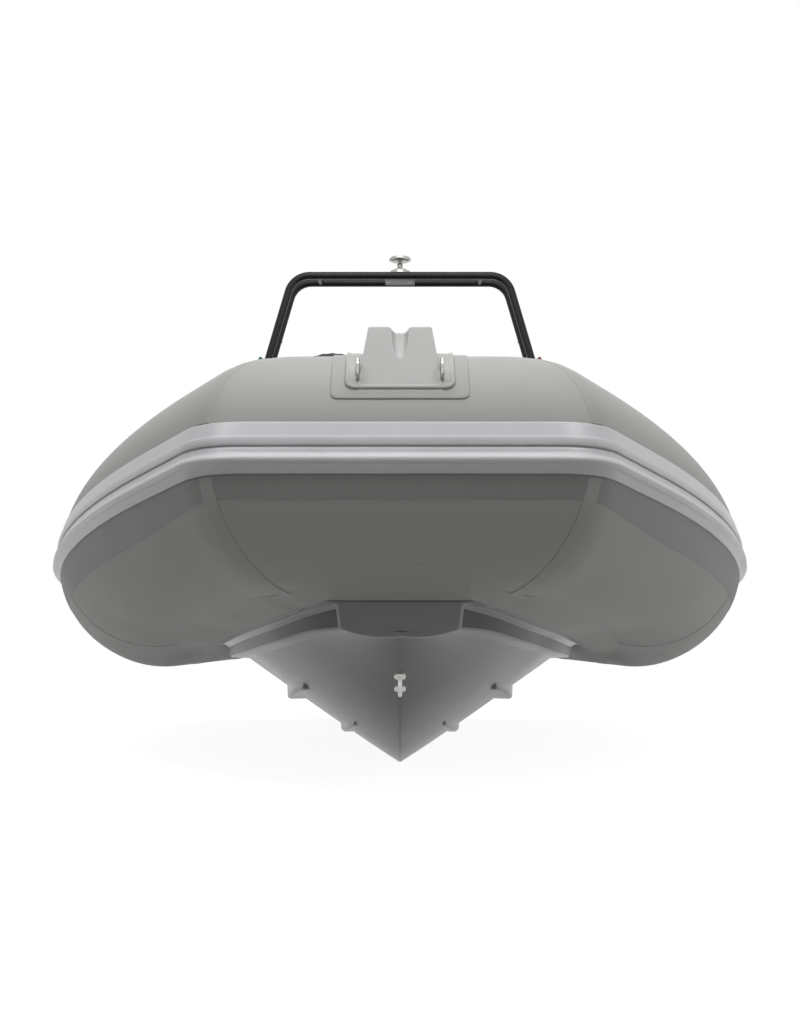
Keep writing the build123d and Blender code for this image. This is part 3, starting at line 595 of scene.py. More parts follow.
def linePoint(run, out, up):
    # points on a line of the tube; run is measured from the line's own corner at the mitre,
    # which is rounded by a quadratic curve that starts and ends in line with the runs
    run, out, up = np.broadcast_arrays(np.asarray(run, float), out, up)
    reach, shift, across = boat["mitreReach"], mitreShift(out), direction(0.0)
    corner = bowCorner + out[..., None] * outward(0.0) + up[..., None] * bowUp + shift[..., None] * across
    bow = corner + np.minimum(run, -reach)[..., None] * across
    side = sidePoint(np.maximum(run, reach) - shift, out, up)
    t = np.clip((run + reach) / (2 * reach), 0, 1)[..., None]
    start, end = corner - reach * across, sidePoint(reach - shift, out, up)
    curve = start * (1 - t) ** 2 + 2 * corner * t * (1 - t) + end * t ** 2
    return np.where((run < -reach)[..., None], bow, np.where((run > reach)[..., None], side, curve))


def tubeLines(part, out, up):
    # out and up give a section; its rows run along the bow tube's half or along the side tube
    out, up = np.asarray(out, float)[None, :], np.asarray(up, float)[None, :]
    reach, shift = boat["mitreReach"], mitreShift(out)
    if part == "bow":
        rows = [-reach - (boat["bowHalfWidth"] + shift - reach) * np.linspace(1, 0, 14)[:-1, None],
                np.linspace(-reach, 0, 9)[:, None] + 0 * out]
    else:
        bend = bendLength + shift
        rows = [np.linspace(0, reach, 9)[:-1, None] + 0 * out,
                reach + (bend - reach) * np.linspace(0, 1, 40)[:-1, None],
                bend + sheerLength * np.linspace(0, 1, 9)[:-1, None],
                bend + sheerLength + levelLength * np.linspace(0, 1, 13)[:, None]]
    return linePoint(np.concatenate(rows), out, up)


def onTube(angles, proud=0.0):
    # the tube's section at some angles above its outer equator
    radius = boat["tubeRadius"] + proud
    return radius * np.cos(angles), radius * np.sin(angles)


def swept(label, section, material, **options):
    # a section swept along the bow tube and along both side tubes, as three pieces
    node = label.lower() + "_"
    bow = tubeLines("bow", *section)
    whole = np.concatenate([bow[::-1] * acrossBoat, bow[1:]])
    gridPiece("bow" + label, whole, material, node + "bow", **options)
    line = tubeLines("side", *section)
    for side in sides:
        gridPiece("side%s_%s" % (label, side), line, material, node + side, side, **options)


def sternCones():
    # the tube's ring narrowed evenly towards the stern
    steps = np.linspace(0, 1, 12)[:, None]
    radius = boat["tubeRadius"] + (boat["coneEnd"] - boat["tubeRadius"]) * steps
    y = yOf(boat["coneStation"]) + boat["coneLength"] * steps + 0 * ringAngles
    out, up = radius * np.cos(ringAngles), radius * np.sin(ringAngles)
    cone = np.stack([-tubeX - out, y, boat["tubeZ"] + up], -1)
    for side in sides:
        gridPiece("cone_" + side, cone, tubeFabric, "stern_cone_" + side, side, flip=True)


# the strake's section: thin flanges, a stepped band, a dark groove, a cove and a round bead
# columns: degrees above the equator, proud of the tube in mm
strakeProfile = np.array([
    (13.0, 0.2), (12.96, 2.0), (12.8, 2.7), (12.4, 3.0), (6.3, 3.4), (6.1, 3.6), (5.9, 7.2), (5.6, 7.8),
    (2.2, 7.8), (1.9, 7.4), (1.75, 6.0), (1.6, 3.0), (1.15, 3.0), (1.0, 5.0), (0.7, 6.0), (-0.6, 6.6),
    (-1.6, 7.6), (-2.3, 9.6), (-2.8, 12.2), (-3.4, 14.4), (-4.1, 15.8), (-4.9, 16.2), (-5.6, 15.2),
    (-6.1, 13.0), (-6.4, 9.4), (-6.6, 5.4), (-6.9, 4.2), (-10.0, 3.2), (-10.4, 2.6), (-10.55, 1.8),
    (-10.6, 0.2)])
ringAngles = np.linspace(-math.pi, math.pi, 97)
swept("Tube", onTube(ringAngles), tubeFabric, flip=True)
sternCones()
swept("Strake", onTube(np.radians(strakeProfile[:, 0]), strakeProfile[:, 1] / 1000), strakeRubber, sharp=50)
print("tubes made")


# glued tapes

tapes = {
    "lift": 0.0009,  # how proud of the tube
    "lowerLift": 0.0014,
    "wearLift": 0.0011,
    "upper": (13.6, 178.0),  # degrees above the equator, clear of the strake
    "lower": (-178.0, -11.2),
    "seam": (-0.001, 0.032),  # runs from the mitre
    "lowerWidth": 0.033,
    "wearEnd": 2.9,
    "wearTop": -11.0,
    "wearBottom": ((0.0, 0.06, 0.35, 0.7), (-22.0, -23.0, -28.5, -29.0)),  # runs and degrees
    "coneWidth": 0.045,
    "hoopRuns": (0.95, 2.05),
    "hoopWidth": 0.030,
    "hoopLift": 0.0008,
}


def tape(name, runs, angles, lift=tapes["lift"], material=tapeFabric, joined=False):
    # a thin strip on the tubes: rows of runs against columns of angles, with thinned edges
    runs, angles = np.broadcast_arrays(runs, angles)
    thick = np.full(runs.shape, lift)
    thick[0] = lift if joined else 0.0
    thick[-1] = 0.0
    thick[:, 0] = thick[:, -1] = 0.0
    points = linePoint(runs, *onTube(angles, thick))
    for side in sides:
        gridPiece(name + "_" + side, points, material, side=side, flip=True, sharp=20)


def edged(low, high, count, edge=0.0012):
    # even steps between two values, with one close step at each end
    return np.concatenate([[low], np.linspace(low + edge, high - edge, count), [high]])


def squareTo(run, angles):
    # runs that lie square across the tube, although each line is measured from its own corner
    return run[:, None] + mitreShift(boat["tubeRadius"] * np.cos(angles))[None, :]


def seamTapes():
    # over the mitred seam, above and below the strake
    tape("seamTapeUpper", edged(*tapes["seam"], 8)[:, None], np.radians(edged(*tapes["upper"], 60, 0.3)))
    lower = np.radians(edged(*tapes["lower"], 60, 0.3))
    start = np.interp(np.degrees(lower), (-120, -60, -10), (-0.030, -0.027, -0.012))[None, :]
    steps = edged(0.0, 1.0, 8, 0.025)[:, None]
    tape("seamTapeLower", start + tapes["lowerWidth"] * steps, lower, tapes["lowerLift"])


def wearStrip():
    # under the strake, wider aft of the corner; its forward end lies on the centre line at every angle
    runs = np.concatenate([np.linspace(-0.36, -0.1, 40), np.linspace(-0.09, 0.1, 24),
                           np.linspace(0.12, tapes["wearEnd"], 70)])
    bottom = np.interp(runs, *tapes["wearBottom"])[:, None]
    angles = np.radians(bottom + (tapes["wearTop"] - bottom) * edged(0.0, 1.0, 10, 0.03)[None, :])
    middle = -(boat["bowHalfWidth"] + mitreShift(onTube(angles, tapes["wearLift"])[0]))
    # the strip's darker tone is partly its own colour and partly painted shade under the strake
    tape("wearStrip", np.maximum(runs[:, None], middle), angles, tapes["wearLift"], wearStripAndShade, joined=True)


seamTapes()
wearStrip()
tape("coneTape", squareTo(sideLength - edged(0.0, tapes["coneWidth"], 4), ringAngles), ringAngles)
print("tapes made")


# hull

# columns: station, keel z, bottom edge x z, chine x z, side top x z, lip x z, top z
hullLines = np.array([
    (-0.066, 0.065, 0.096, 0.070, 0.102, 0.073, 0.107, 0.119, 0.126, 0.121, 0.165),
    (0.060, -0.006, 0.148, 0.060, 0.165, 0.068, 0.174, 0.101, 0.184, 0.106, 0.168),
    (0.230, -0.095, 0.212, 0.044, 0.234, 0.051, 0.245, 0.080, 0.255, 0.085, 0.165),
    (0.500, -0.190, 0.290, 0.026, 0.311, 0.032, 0.323, 0.060, 0.333, 0.067, 0.145),
    (0.900, -0.233, 0.353, 0.011, 0.391, 0.014, 0.402, 0.043, 0.413, 0.049, 0.126),
    (1.400, -0.234, 0.402, 0.005, 0.452, 0.006, 0.460, 0.038, 0.474, 0.042, 0.120),
    (2.200, -0.234, 0.402, -0.003, 0.452, -0.002, 0.460, 0.036, 0.474, 0.040, 0.120),
    (3.110, -0.234, 0.402, -0.003, 0.452, -0.002, 0.460, 0.036, 0.474, 0.040, 0.120)])
hull = {
    "front": -0.066,
    "frontEdge": 0.010,
    "back": 3.110,
    "keelRadius": 0.007,
    "bulge": 0.006,
    "lipRise": 0.060,
    "recessFront": 0.869,
    "recessHalf": 0.385,
    "recessWall": 0.012,
    "recessLevel": 0.11,  # height at which the wall is measured
    "floor": 0.094,
    "corners": (0.011, 0.007, 0.012, 0.003, 0.002, 0.002, 0.002, 0.0005),  # radii, from the chine's edge in
    # the band's faces get the near-black colour that paints its reflection
    "bandColumn": 28,  # column of the section's points below the upright band
    # radius of the black rod that paints the joint's contact shadow
    "bead": 0.0028,
}
tubeRuns = np.linspace(0, sideLength, 400)
tubeCentres = sidePoint(tubeRuns, 0.0, 0.0)


def hullAt(station):
    # the hull table's columns at one station; the keel goes no lower than its straight run
    keel, *others = [float(hermite(hullLines[:, 0], column, station)) for column in hullLines.T[1:]]
    return [max(keel, hullLines[-1, 1])] + others


def bottomPoints(keel, edgeX, edgeZ, end):
    # the V from its rounded keel out to a point short of the chine, with a slight parabolic bulge
    slope, radius = math.atan2(edgeZ - keel, edgeX), hull["keelRadius"]
    around = np.linspace(0, slope, 5)
    low = np.stack([radius * np.sin(around), keel + radius / math.cos(slope) - radius * np.cos(around)], -1)
    t = np.linspace(0, 1, 14)[1:, None]
    bulge = hull["bulge"] * 4 * t * (1 - t) * np.array([math.sin(slope), -math.cos(slope)])
    return np.concatenate([low, low[-1] + (end - low[-1]) * t + bulge])


def recessHalf(station, z):
    # half width of the cockpit recess, kept a wall's thickness from the tubes
    y = yOf(station)
    x, centreZ = (np.interp(y, tubeCentres[:, 1], tubeCentres[:, i]) for i in (0, 2))
    i = min(int(np.searchsorted(tubeCentres[:, 1], y)), len(tubeRuns) - 2)
    along = unit(tubeCentres[i + 1] - tubeCentres[i])
    wall = boat["tubeRadius"] + hull["recessWall"]
    half = math.sqrt(max(wall ** 2 - (z - centreZ) ** 2, 1e-6)) / max(along[1], 0.3)
    return min(hull["recessHalf"], -x - half)


def hullSection(station):
    # half of the section: V, chine, side band, lip, flange, top and recess
    keel, edgeX, edgeZ, chineX, chineZ, sideX, sideZ, lipX, lipZ, top = hullAt(station)
    inner, floor = lipX * 0.5, top - 0.001
    if station >= hull["recessFront"]:
        inner, floor = recessHalf(station, hull["recessLevel"]), hull["floor"]
    corners = [(edgeX * 0.9, keel + (edgeZ - keel) * 0.9), (edgeX, edgeZ), (chineX, chineZ), (sideX, sideZ),
               (lipX, lipZ), (lipX, lipZ + hull["lipRise"]), (max(lipX - 0.025, inner + 0.02), top),
               (inner, top), (inner, floor), (0.0, floor)]
    path = roundedProfile(corners, hull["corners"])
    return np.concatenate([bottomPoints(keel, edgeX, edgeZ, path[1]), path[2:]])


def shrunk(section, by):
    # the section scaled about its middle so that its extremes move in by a distance
    low, high = section.min(axis=0), section.max(axis=0)
    middle = np.array([0.0, (low[1] + high[1]) / 2])
    half = np.array([high[0], (high[1] - low[1]) / 2])
    return middle + (section - middle) * (1 - by / half)


def hullShell():
    # sections along the boat, drawn in by a quarter circle at the front, mirrored and capped
    edge, front, cut = hull["frontEdge"], hull["front"], hull["recessFront"]
    quarter = np.radians(np.linspace(0, 90, 7))
    stations = np.concatenate([front + edge * (1 - np.cos(quarter)), np.linspace(-0.05, cut, 60),
                               [cut + 0.0005], np.linspace(cut + 0.0015, 1.5, 40),
                               np.linspace(1.55, hull["back"], 30)])
    draw = np.concatenate([edge * (1 - np.sin(quarter)), np.zeros(len(stations) - len(quarter))])
    rows = []
    for station, by in zip(stations, draw):
        section = hullSection(max(station, front + edge) if by else station)
        section = shrunk(section, by) if by else section
        rows.append(np.stack([section[:, 0], np.full(len(section), yOf(station)), section[:, 1]], -1))
    half = np.array(rows)
    whole = np.concatenate([half, half[:, -2:0:-1] * acrossBoat], axis=1)
    count = whole.shape[1]
    faces = [gridFaces(len(rows), count, closeColumns=True)[:, ::-1]]
    faces += capFaces(count, over=True) + capFaces(count, (len(rows) - 1) * count)
    piece = makePiece("hullShell", [(whole, faces)], hullGelcoat, "hull", sharp=50)
    # the upright band between the chine's and the lip's rounded edges, coloured near black as a painted
    # reflection of the dark surroundings on its glossy side
    piece.data.materials.append(paintedReflectionBand)
    row, column = np.divmod(np.arange((len(rows) - 1) * count), count)
    # mask of the band's faces that get the painted dark reflection
    wall = (column == hull["bandColumn"]) | (column == count - 1 - hull["bandColumn"])
    slots = np.zeros(len(piece.data.polygons), np.int32)
    slots[:len(row)] = wall & (row >= len(quarter))
    piece.data.polygons.foreach_set("material_index", slots)


def lipLine():
    # the hull's lip from the middle of the bow and aft along the starboard side
    stations = np.concatenate([np.linspace(hull["front"], 0.6, 90), np.linspace(0.61, 3.1, 110)])
    lip = np.array([hullAt(station)[7:9] for station in stations])
    nose = np.linspace(0, lip[0, 0], 16)[:-1]
    x, z = np.concatenate([nose, lip[:, 0]]), np.concatenate([np.full(15, lip[0, 1]), lip[:, 1]])
    return np.stack([-x, yOf(np.concatenate([np.full(15, hull["front"] - 0.0005), stations])), z + 0.003], -1)


def hullJoint():
    # fabric drawn from the tubes down to the hull's lip, a tape's edge on it and a black rod that paints the
    # contact shadow along the joint
    lip = lipLine()
    bow = bowCentre + np.linspace(0, 1, 60)[:-1, None] * (bowCorner - bowCentre)
    centres = np.concatenate([bow, tubeCentres])
    nearest = np.linalg.norm(lip[:, None] - centres[None], axis=-1).argmin(axis=1)
    axis = smoothed(unit(np.gradient(centres, axis=0))[nearest], 9)
    radial = lip - centres[nearest]
    radial = radial - axis * (radial * axis).sum(-1, keepdims=True)
    reach = np.linalg.norm(radial, axis=-1, keepdims=True)
    radial = unit(smoothed(radial, 9))
    away = np.cross(axis, radial)
    away = away * np.sign((away * np.array([-1.0, -1.0, 0.0])).sum(-1, keepdims=True))
    # the skin swings up from the lip and settles on the tube by a smooth step
    angle = np.radians(np.concatenate([[-3.0, 0.0, 0.3, 1.0, 2.0, 2.2], np.linspace(2.6, 24.0, 24)]))
    rise = 1 - np.clip((angle - angle[1]) / (angle[-1] - angle[1]), 0, 1)
    blend = rise * rise * (3 - 2 * rise)
    thick = np.interp(np.degrees(angle), (0.0, 0.3, 2.0, 2.25), (0.0004, 0.0020, 0.0020, 0.0002))
    radius = boat["tubeRadius"] + np.maximum(reach - boat["tubeRadius"], 0.0) * blend + thick
    skin = ((lip - radial * reach)[:, None] + radial[:, None] * (radius * np.cos(angle))[..., None]
            + away[:, None] * (radius * np.sin(angle))[..., None])
    middle = centres[np.linalg.norm(skin[:, :, None] - centres[::2], axis=-1).argmin(axis=-1) * 2]
    skin = middle + unit(skin - middle) * radius[..., None]
    # painted shadow: a black rod along the lip that stands in for the contact shadow where the tube meets the
    # hull
    bead = rodParts(lip + away * 0.0022 + radial * 0.0012, hull["bead"], 12)
    for side in sides:
        gridPiece("hullJoint_" + side, skin, tubeFabric, side=side)
        makePiece("jointShadowBead_" + side, [mirrored(bead) if side == "port" else bead], blackPlastic)


hullShell()
hullJoint()
print("hull made")


# hull fittings

# columns: station, outer edge of the outer rail, of the inner rail
railLines = np.array([(0.460, 0.200, 0.094), (0.500, 0.211, 0.101), (0.900, 0.267, 0.139),
                      (1.400, 0.278, 0.144), (2.200, 0.282, 0.146), (3.110, 0.282, 0.146)])
rails = {"widths": (0.044, 0.026), "front": 0.462, "noseLength": 0.03, "taper": 0.35, "drop": 0.002}
stemEye = {
    "foot": (0.0, yOf(0.099), -0.026),
    "out": (0, -0.464, -0.886),
    "down": (0, -0.886, 0.464),
    "half": 0.026,
    "reach": 0.021,
    "bend": 0.019,
    "rod": 0.004,
    "dish": [(0.0, 0.0062), (0.0048, 0.0062), (0.0056, 0.0056), (0.0058, 0.0032), (0.0085, 0.0034),
             (0.0108, 0.0022), (0.0112, 0.0008), (0.0112, -0.012)],
}


def bottomHeight(station, x):
    # the V's height at a distance from the keel: a straight slope less the bulge
    keel, edgeX, edgeZ = hullAt(station)[:3]
    return keel + (edgeZ - keel) * x / edgeX - hull["bulge"] * 4 * (x / edgeX) * (1 - x / edgeX)


def railSection(station, outer, width):
    # a level-bottomed section, narrower towards the front and closed by a quarter circle there
    front, nose = rails["front"], rails["noseLength"]
    grown = math.sqrt(max(0.0, 1 - max(0.0, (front + nose - station) / nose) ** 2))
    wide = width * (0.35 + 0.65 * min(1.0, (station - front) / rails["taper"])) * max(grown, 0.02)
    inner = outer - wide
    root, high = bottomHeight(station, inner), bottomHeight(station, outer)
    low = high + (root - rails["drop"] * grown - high) * max(grown, 0.05)
    flat = [(inner - 0.004, 0, root + 0.004), (inner, 0, low + 0.001), (outer, 0, low),
            (outer + 0.001, 0, high + 0.006)]
    section = arcPath(flat, [0.002, min(0.008, wide * 0.35)], 4)
    return np.stack([section[:, 0], np.full(len(section), yOf(station)), section[:, 2]], -1)


def sprayRails():
    # two strips under each side of the V
    front, nose, parts = rails["front"], rails["noseLength"], []
    along = np.concatenate([front + nose * (1 - np.cos(np.linspace(0, math.pi / 2, 8)))[:-1],
                            np.linspace(front + nose, hull["back"], 70)])
    for column, width in enumerate(rails["widths"], 1):
        outer = [float(hermite(railLines[:, 0], railLines[:, column], station)) for station in along]
        grid = np.array([railSection(station, x, width) for station, x in zip(along, outer)])
        strip = grid, [gridFaces(*grid.shape[:2])[:, ::-1]]
        parts += [strip, mirrored(strip)]
    makePiece("sprayRails", parts, hullGelcoat, "spray_rails", sharp=50)


def bowEye():
    # a U bolt on the stem with a dished washer under each leg
    foot, out, down = (np.array(stemEye[key]) for key in ("foot", "out", "down"))
    legs = [foot + down * stemEye["half"] * side for side in (1, -1)]
    inside, outside = -out * 0.02, out * stemEye["reach"]
    corners = [legs[0] + inside, legs[0] + outside, legs[1] + outside, legs[1] + inside]
    parts = [rodParts(arcPath(corners, [stemEye["bend"]] * 2), stemEye["rod"], 20)]
    parts += [lathe(stemEye["dish"], leg + out * 0.001, (1, 0, 0), down, out, edge=0.001)
              for leg in legs[::-1]]
    makePiece("bowEye", parts, stainless, "bow_eye", sharp=50)


sprayRails()
bowEye()


# bow pad and chock

# angles: degrees forward of the tube's top
# profile: pairs of an inset from the edge and a height above the tube
plates = {
    "bowPatch": {"node": "bow_patch", "material": tapeFabric, "half": 0.121, "angles": (-40.0, 58.5),
                 "corner": 0.012,
                 "profile": [(0.0, 0.0), (0.0004, 0.0016), (0.0012, 0.0022), (0.004, 0.0023)]},
    "bowPad": {"node": "bow_pad", "material": padRubber, "half": 0.096, "angles": (-32.0, 53.0),
               "corner": 0.018,
               "profile": [(-0.0005, 0.0010), (-0.0004, 0.0040), (0.0004, 0.0058), (0.0018, 0.0067),
                           (0.0036, 0.0070), (0.0056, 0.0067), (0.0078, 0.0058), (0.0100, 0.0054)]},
}
chock = {
    "top": 0.256,
    "foot": 0.151,
    "low": 0.118,
    "frontTop": -0.119,
    "frontSlope": 0.485,
    "backTop": -0.004,
    "backSlope": 0.294,
    "edge": 0.0055,
    "edgeShare": 0.035,
    "footHalf": 0.0735,
    "topHalf": 0.0565,
    "notchFlat": 0.0085,
    "notchSlope": 0.0125,
    "notchDeep": 0.0108,
    "grooveHalf": 0.0148,
    "grooveLong": 0.070,
    "grooveDeep": 0.0115,
}
sideEye = {"angle": math.radians(43.5), "x": 0.0735, "half": 0.015, "reach": 0.034, "root": 0.01,
           "bend": 0.0145, "rod": 0.0035}


def bowPlate(name, plate):
    # rounded rectangles laid on the bow tube, one inside the other; arcs are measured from its top
    low, high = np.radians(plate["angles"]) * boat["tubeRadius"]
    middle, halfY, halfX = (low + high) / 2, (high - low) / 2, plate["half"]
    flat = plate["profile"][-1][1]
    profile = plate["profile"] + [(inset, flat) for inset in np.linspace(0.02, halfX - 0.006, 8)]
    rows = []
    for inset, lift in profile:
        ring = roundedRing(halfX - inset, halfY - inset, max(plate["corner"] - inset, 0.003), 81)
        back, up = onTube(math.pi / 2 - (middle + ring[:, 1]) / boat["tubeRadius"], lift)
        rows.append(bowCentre + np.stack([ring[:, 0], -back, up], -1))
    grid = np.array(rows)
    rows, count = grid.shape[:2]
    faces = [gridFaces(rows, count, closeColumns=True)] + capFaces(count, (rows - 1) * count, over=True)
    makePiece(name, [(grid, faces)], plate["material"], plate["node"], sharp=60)


def chockOutline():
    # the chock's side view over its top, as y, z and the share run at close steps
    top, low, edge = chock["top"], chock["low"], chock["edge"]
    line = [(0, chock["frontTop"] - (top - low) * chock["frontSlope"], low), (0, chock["frontTop"], top),
            (0, chock["backTop"], top), (0, chock["backTop"] + (top - low) * chock["backSlope"], low)]
    path = arcPath(line, [edge, edge], 6)
    length = pathLength(path)
    at = np.unique(np.concatenate([np.linspace(0, length[-1], 150), length]))
    return np.interp(at, length, path[:, 1]), np.interp(at, length, path[:, 2]), at / length[-1]


def bowChock():
    # tapered block with a V notch on top and a teardrop groove down its face
    top, edge, foot = chock["top"], chock["edge"], chock["foot"]
    y, z, share = chockOutline()
    quarter = np.linspace(0, math.pi / 2, 7)
    ends = 1 - chock["edgeShare"] * (1 - np.sin(quarter))
    across = np.concatenate([-ends[::-1], np.linspace(-0.955, 0.955, 121), ends])
    draw = edge * (1 - np.cos(quarter))
    inset = np.concatenate([draw[::-1], np.zeros(121), draw])
    half = chock["footHalf"] + (z - foot) / (top - foot) * (chock["topHalf"] - chock["footHalf"])
    x = half[:, None] * across[None, :]
    # the side edges are rounded by drawing the outline in
    outY, outZ = np.gradient(z), -np.gradient(y)
    size = np.hypot(outY, outZ)
    yy = y[:, None] + (outY / size)[:, None] * inset[None, :]
    zz = z[:, None] + (outZ / size)[:, None] * inset[None, :]
    # the notch falls by the mean of a straight and a smooth step
    t = np.clip((np.abs(x) - chock["notchFlat"]) / chock["notchSlope"], 0, 1)
    zz = np.minimum(zz, top - chock["notchDeep"] * (1 - t * t * (3 - 2 * t) * 0.5 - t * 0.5))
    # the groove is elliptic across and narrows to a point down the face
    down = np.clip(top - z, 0, None)[:, None] / math.cos(math.atan(chock["frontSlope"])) / chock["grooveLong"]
    wide = chock["grooveHalf"] * np.clip(1 - down ** 2, 1e-4, 1) ** 0.5
    deep = chock["grooveDeep"] * np.clip(1 - down ** 2, 0, 1)
    yy = yy + deep * np.clip(1 - (x / wide) ** 2, 0, 1) ** 0.5 * (share < 0.42)[:, None]
    grid = np.stack([x, yy + bowCentre[1], zz + bowCentre[2]], -1)
    rows, columns = x.shape
    i = np.arange(rows // 2)
    wall = np.stack([i, i + 1, rows - 2 - i, rows - 1 - i], -1) * columns
    faces = [gridFaces(rows, columns)[:, ::-1], wall, wall[:, ::-1] + columns - 1]
    makePiece("bowChock", [(grid, faces)], mouldedRubber, "bow_chock", sharp=45)


def sideEyes():
    # a U of rod square to the tube, on each side of the chock
    lean, rise = math.sin(sideEye["angle"]), math.cos(sideEye["angle"])
    up, back = np.array([0, -lean, rise]), np.array([0, rise, lean])
    half, reach, root = back * sideEye["half"], up * sideEye["reach"], up * sideEye["root"]
    parts = []
    for side in sides.values():
        foot = bowCentre + np.array([side * sideEye["x"], 0, 0]) + up * boat["tubeRadius"]
        corners = [foot - half - root, foot - half + reach, foot + half + reach, foot + half - root]
        parts.append(rodParts(arcPath(corners, [sideEye["bend"]] * 2), sideEye["rod"], 18))
    makePiece("sideEyes", parts, stainless, "side_eyes", sharp=50)


for name, plate in plates.items():
    bowPlate(name, plate)
bowChock()
sideEyes()
print("bow fittings made")


# tow arch

arch = {
    "rod": 0.014,
    "stations": {"Front": 2.780, "Rear": 2.900},
    "foot": (0.477, 0.431),
    "knee": (0.491, 1.010),
    "corner": (0.388, 1.3715),
    "bends": (0.14, 0.08, 0.08, 0.14),
    "legSlope": 0.285,
    "screwIn": 0.0138,
    "strutX": 0.294,
    "strutRod": 0.010,
    "plate": (0.110, 0.008, 1.364),
    "postFoot": 1.368,
    "footRows": [(0.0, 0.0065), (0.0150, 0.0130), (0.0165, 0.0100), (0.0180, 0.0075), (0.0205, 0.0065),
                 (0.0285, 0.0062), (0.0300, 0.0048), (0.0300, 0.0)],
    # turned post in mm: base flange, waist, bulb, waist and a rolled head
    "postRows": [(0.0, 0.0), (41.0, 0.0), (41.0, 24.0), (38.5, 33.0), (30.0, 37.5), (11.0, 39.5), (7.6, 43.0),
                 (8.2, 46.0), (11.8, 53.0), (9.5, 60.0), (7.2, 64.0), (7.4, 66.5), (30.0, 68.0), (40.5, 73.0),
                 (41.0, 78.0), (38.0, 84.0), (20.0, 87.0), (0.0, 87.5)],
}
archFront, archRear = (yOf(station) for station in arch["stations"].values())
lights = {
    "case": (0.011, 0.038, 0.050),
    "shelf": (0.022, 0.034, 0.006),
    "height": 1.0195,
    "lens": (0.0124, 0.055),
    "ribs": (24, 0.0002),
    "lean": math.tan(math.radians(15.9)),
}


def hoopPath(y):
    # foot, knee and corner of one side and then of the other, rounded
    half = [(-arch[key][0], y, arch[key][1]) for key in ("foot", "knee", "corner")]
    return arcPath(half + [(-x, y, z) for x, y, z in half[::-1]], arch["bends"], 14)


def archHoops():
    # one rod for each hoop
    for label, station in arch["stations"].items():
        rod = rodParts(hoopPath(yOf(station)), arch["rod"], 32)
        makePiece("arch" + label, [rod], blackCoat, "arch_hoop_" + label.lower(), sharp=60)


def archFeet():
    # round flanges with a weld collar and three bolts each
    parts, bolts = [], []
    for y in (archFront, archRear):
        for side in sides.values():
            foot = np.array([side * arch["foot"][0], y, 0.425])
            parts.append(lathe(arch["footRows"], foot))
            for angle in np.radians((90, 210, 330)):
                place = foot + (0.0238 * math.cos(angle), 0.0238 * math.sin(angle), 0.0063)
                bolts += bolt(place, (0, 0, 1), 0.0036, 0.0034)
    makePiece("archFeet", parts, blackCoat, "arch_feet", sharp=45)
    makePiece("archBolts", bolts, stainless, sharp=35)


def archTop():
    # cross bars, the plate between the hoops, its bolts and the screws behind the lights
    z = arch["corner"][1]
    bars = [rodParts(np.linspace((x, archFront + 0.004, z), (x, archRear - 0.004, z), 6), arch["strutRod"])
            for x in (-arch["strutX"], arch["strutX"])]
    makePiece("archStruts", bars, blackCoat, "arch_struts", sharp=60)
    width, thick, middle = arch["plate"]
    size = width, archRear - archFront - 0.016, thick
    plate = block(size, 0.003, (0, (archFront + archRear) / 2, middle))
    makePiece("postPlate", [plate], blackCoat, "post_plates", sharp=60)
    bolts = []
    for x in (-0.042, 0.036):
        bolts += bolt((x, archFront + 0.034, middle - thick / 2), (0, 0, -1), 0.0055, 0.006)
    for side in sides.values():
        for height in (1.062, 1.150):
            x = side * (arch["knee"][0] - (height - arch["knee"][1]) * arch["legSlope"])
            bolts += bolt((x - side * arch["screwIn"], archRear, height), (-side, 0, 0.2), 0.0032, 0.0028)
    makePiece("plateBolts", bolts, stainless, sharp=35)


def towPost():
    # the turned post stands in the middle of the plate
    rows = np.array(arch["postRows"]) / 1000
    post = lathe(rows, (0, (archFront + archRear) / 2, arch["postFoot"]), edge=0.0035, steps=64, roundSteps=6)
    makePiece("towPost", [post], stainless, "tow_post", sharp=40)


def sideLights():
    # black housings on the front hoop, each with a ribbed barrel lens that closes to a point above
    radius, tall = lights["lens"]
    count, deep = lights["ribs"]
    t = np.linspace(0, 1, 61)
    ribs = radius * np.sqrt(np.clip(1 - t ** 2.6, 0, 1)) + deep * np.cos(t * math.pi * count) * (1 - t)
    barrel = np.stack([np.maximum(ribs, deep), t * tall], -1)
    rows = np.concatenate([[(0.0, 0.0)], barrel, [(0.0, tall + deep)]])
    for name, side in sides.items():
        x = side * (arch["knee"][0] - 0.034 * lights["lean"] + 0.019)
        housing = [block(lights["case"], 0.004, (x, archFront, 1.043)),
                   block(lights["shelf"], 0.0025, (x + side * 0.008, archFront, 1.0165))]
        makePiece("lightCase_" + name, housing, blackPlastic, sharp=50)
        glass = lathe(rows, (x + side * 0.0045, archFront - 0.004, lights["height"]), steps=40)
        makePiece("lightLens_" + name, [glass], lenses[name], "nav_light_" + name, sharp=40)


archHoops()
archFeet()
archTop()
towPost()
sideLights()
print("arch made")


# helm

helm = {
    "centre": (-0.207, yOf(1.958), 0.764),
    "tilt": math.radians(20.0),
    "rimPath": 0.159,
    "rim": 0.0142,
    "fingers": (36, 0.0009),
    "spokes": np.radians((90, 210, 330)),
    "standoff": 0.095,
    "hub": [(0.0, -0.084), (0.0095, -0.084), (0.0095, -0.0595), (0.0358, -0.0595), (0.0358, -0.028),
            (0.0300, -0.0225), (0.0215, -0.021), (0.021, -0.0175), (0.0, -0.0170)],
    "gauges": (-0.088, 0.0, 0.088),
    "bezel": [(0.0300, 0.0), (0.0300, 0.0058), (0.0258, 0.0062), (0.0245, 0.0030)],
    "glass": [(0.0255, 0.0), (0.0248, 0.0030), (0.0, 0.0031)],
    "rockers": (-0.132, -0.112, 0.112, 0.132),
}
console = {"low": -0.375, "high": -0.039, "front": 1.700, "back": 1.985, "lean": math.atan2(0.006, 0.450),
           "hatch": 0.330, "vents": 1.84}
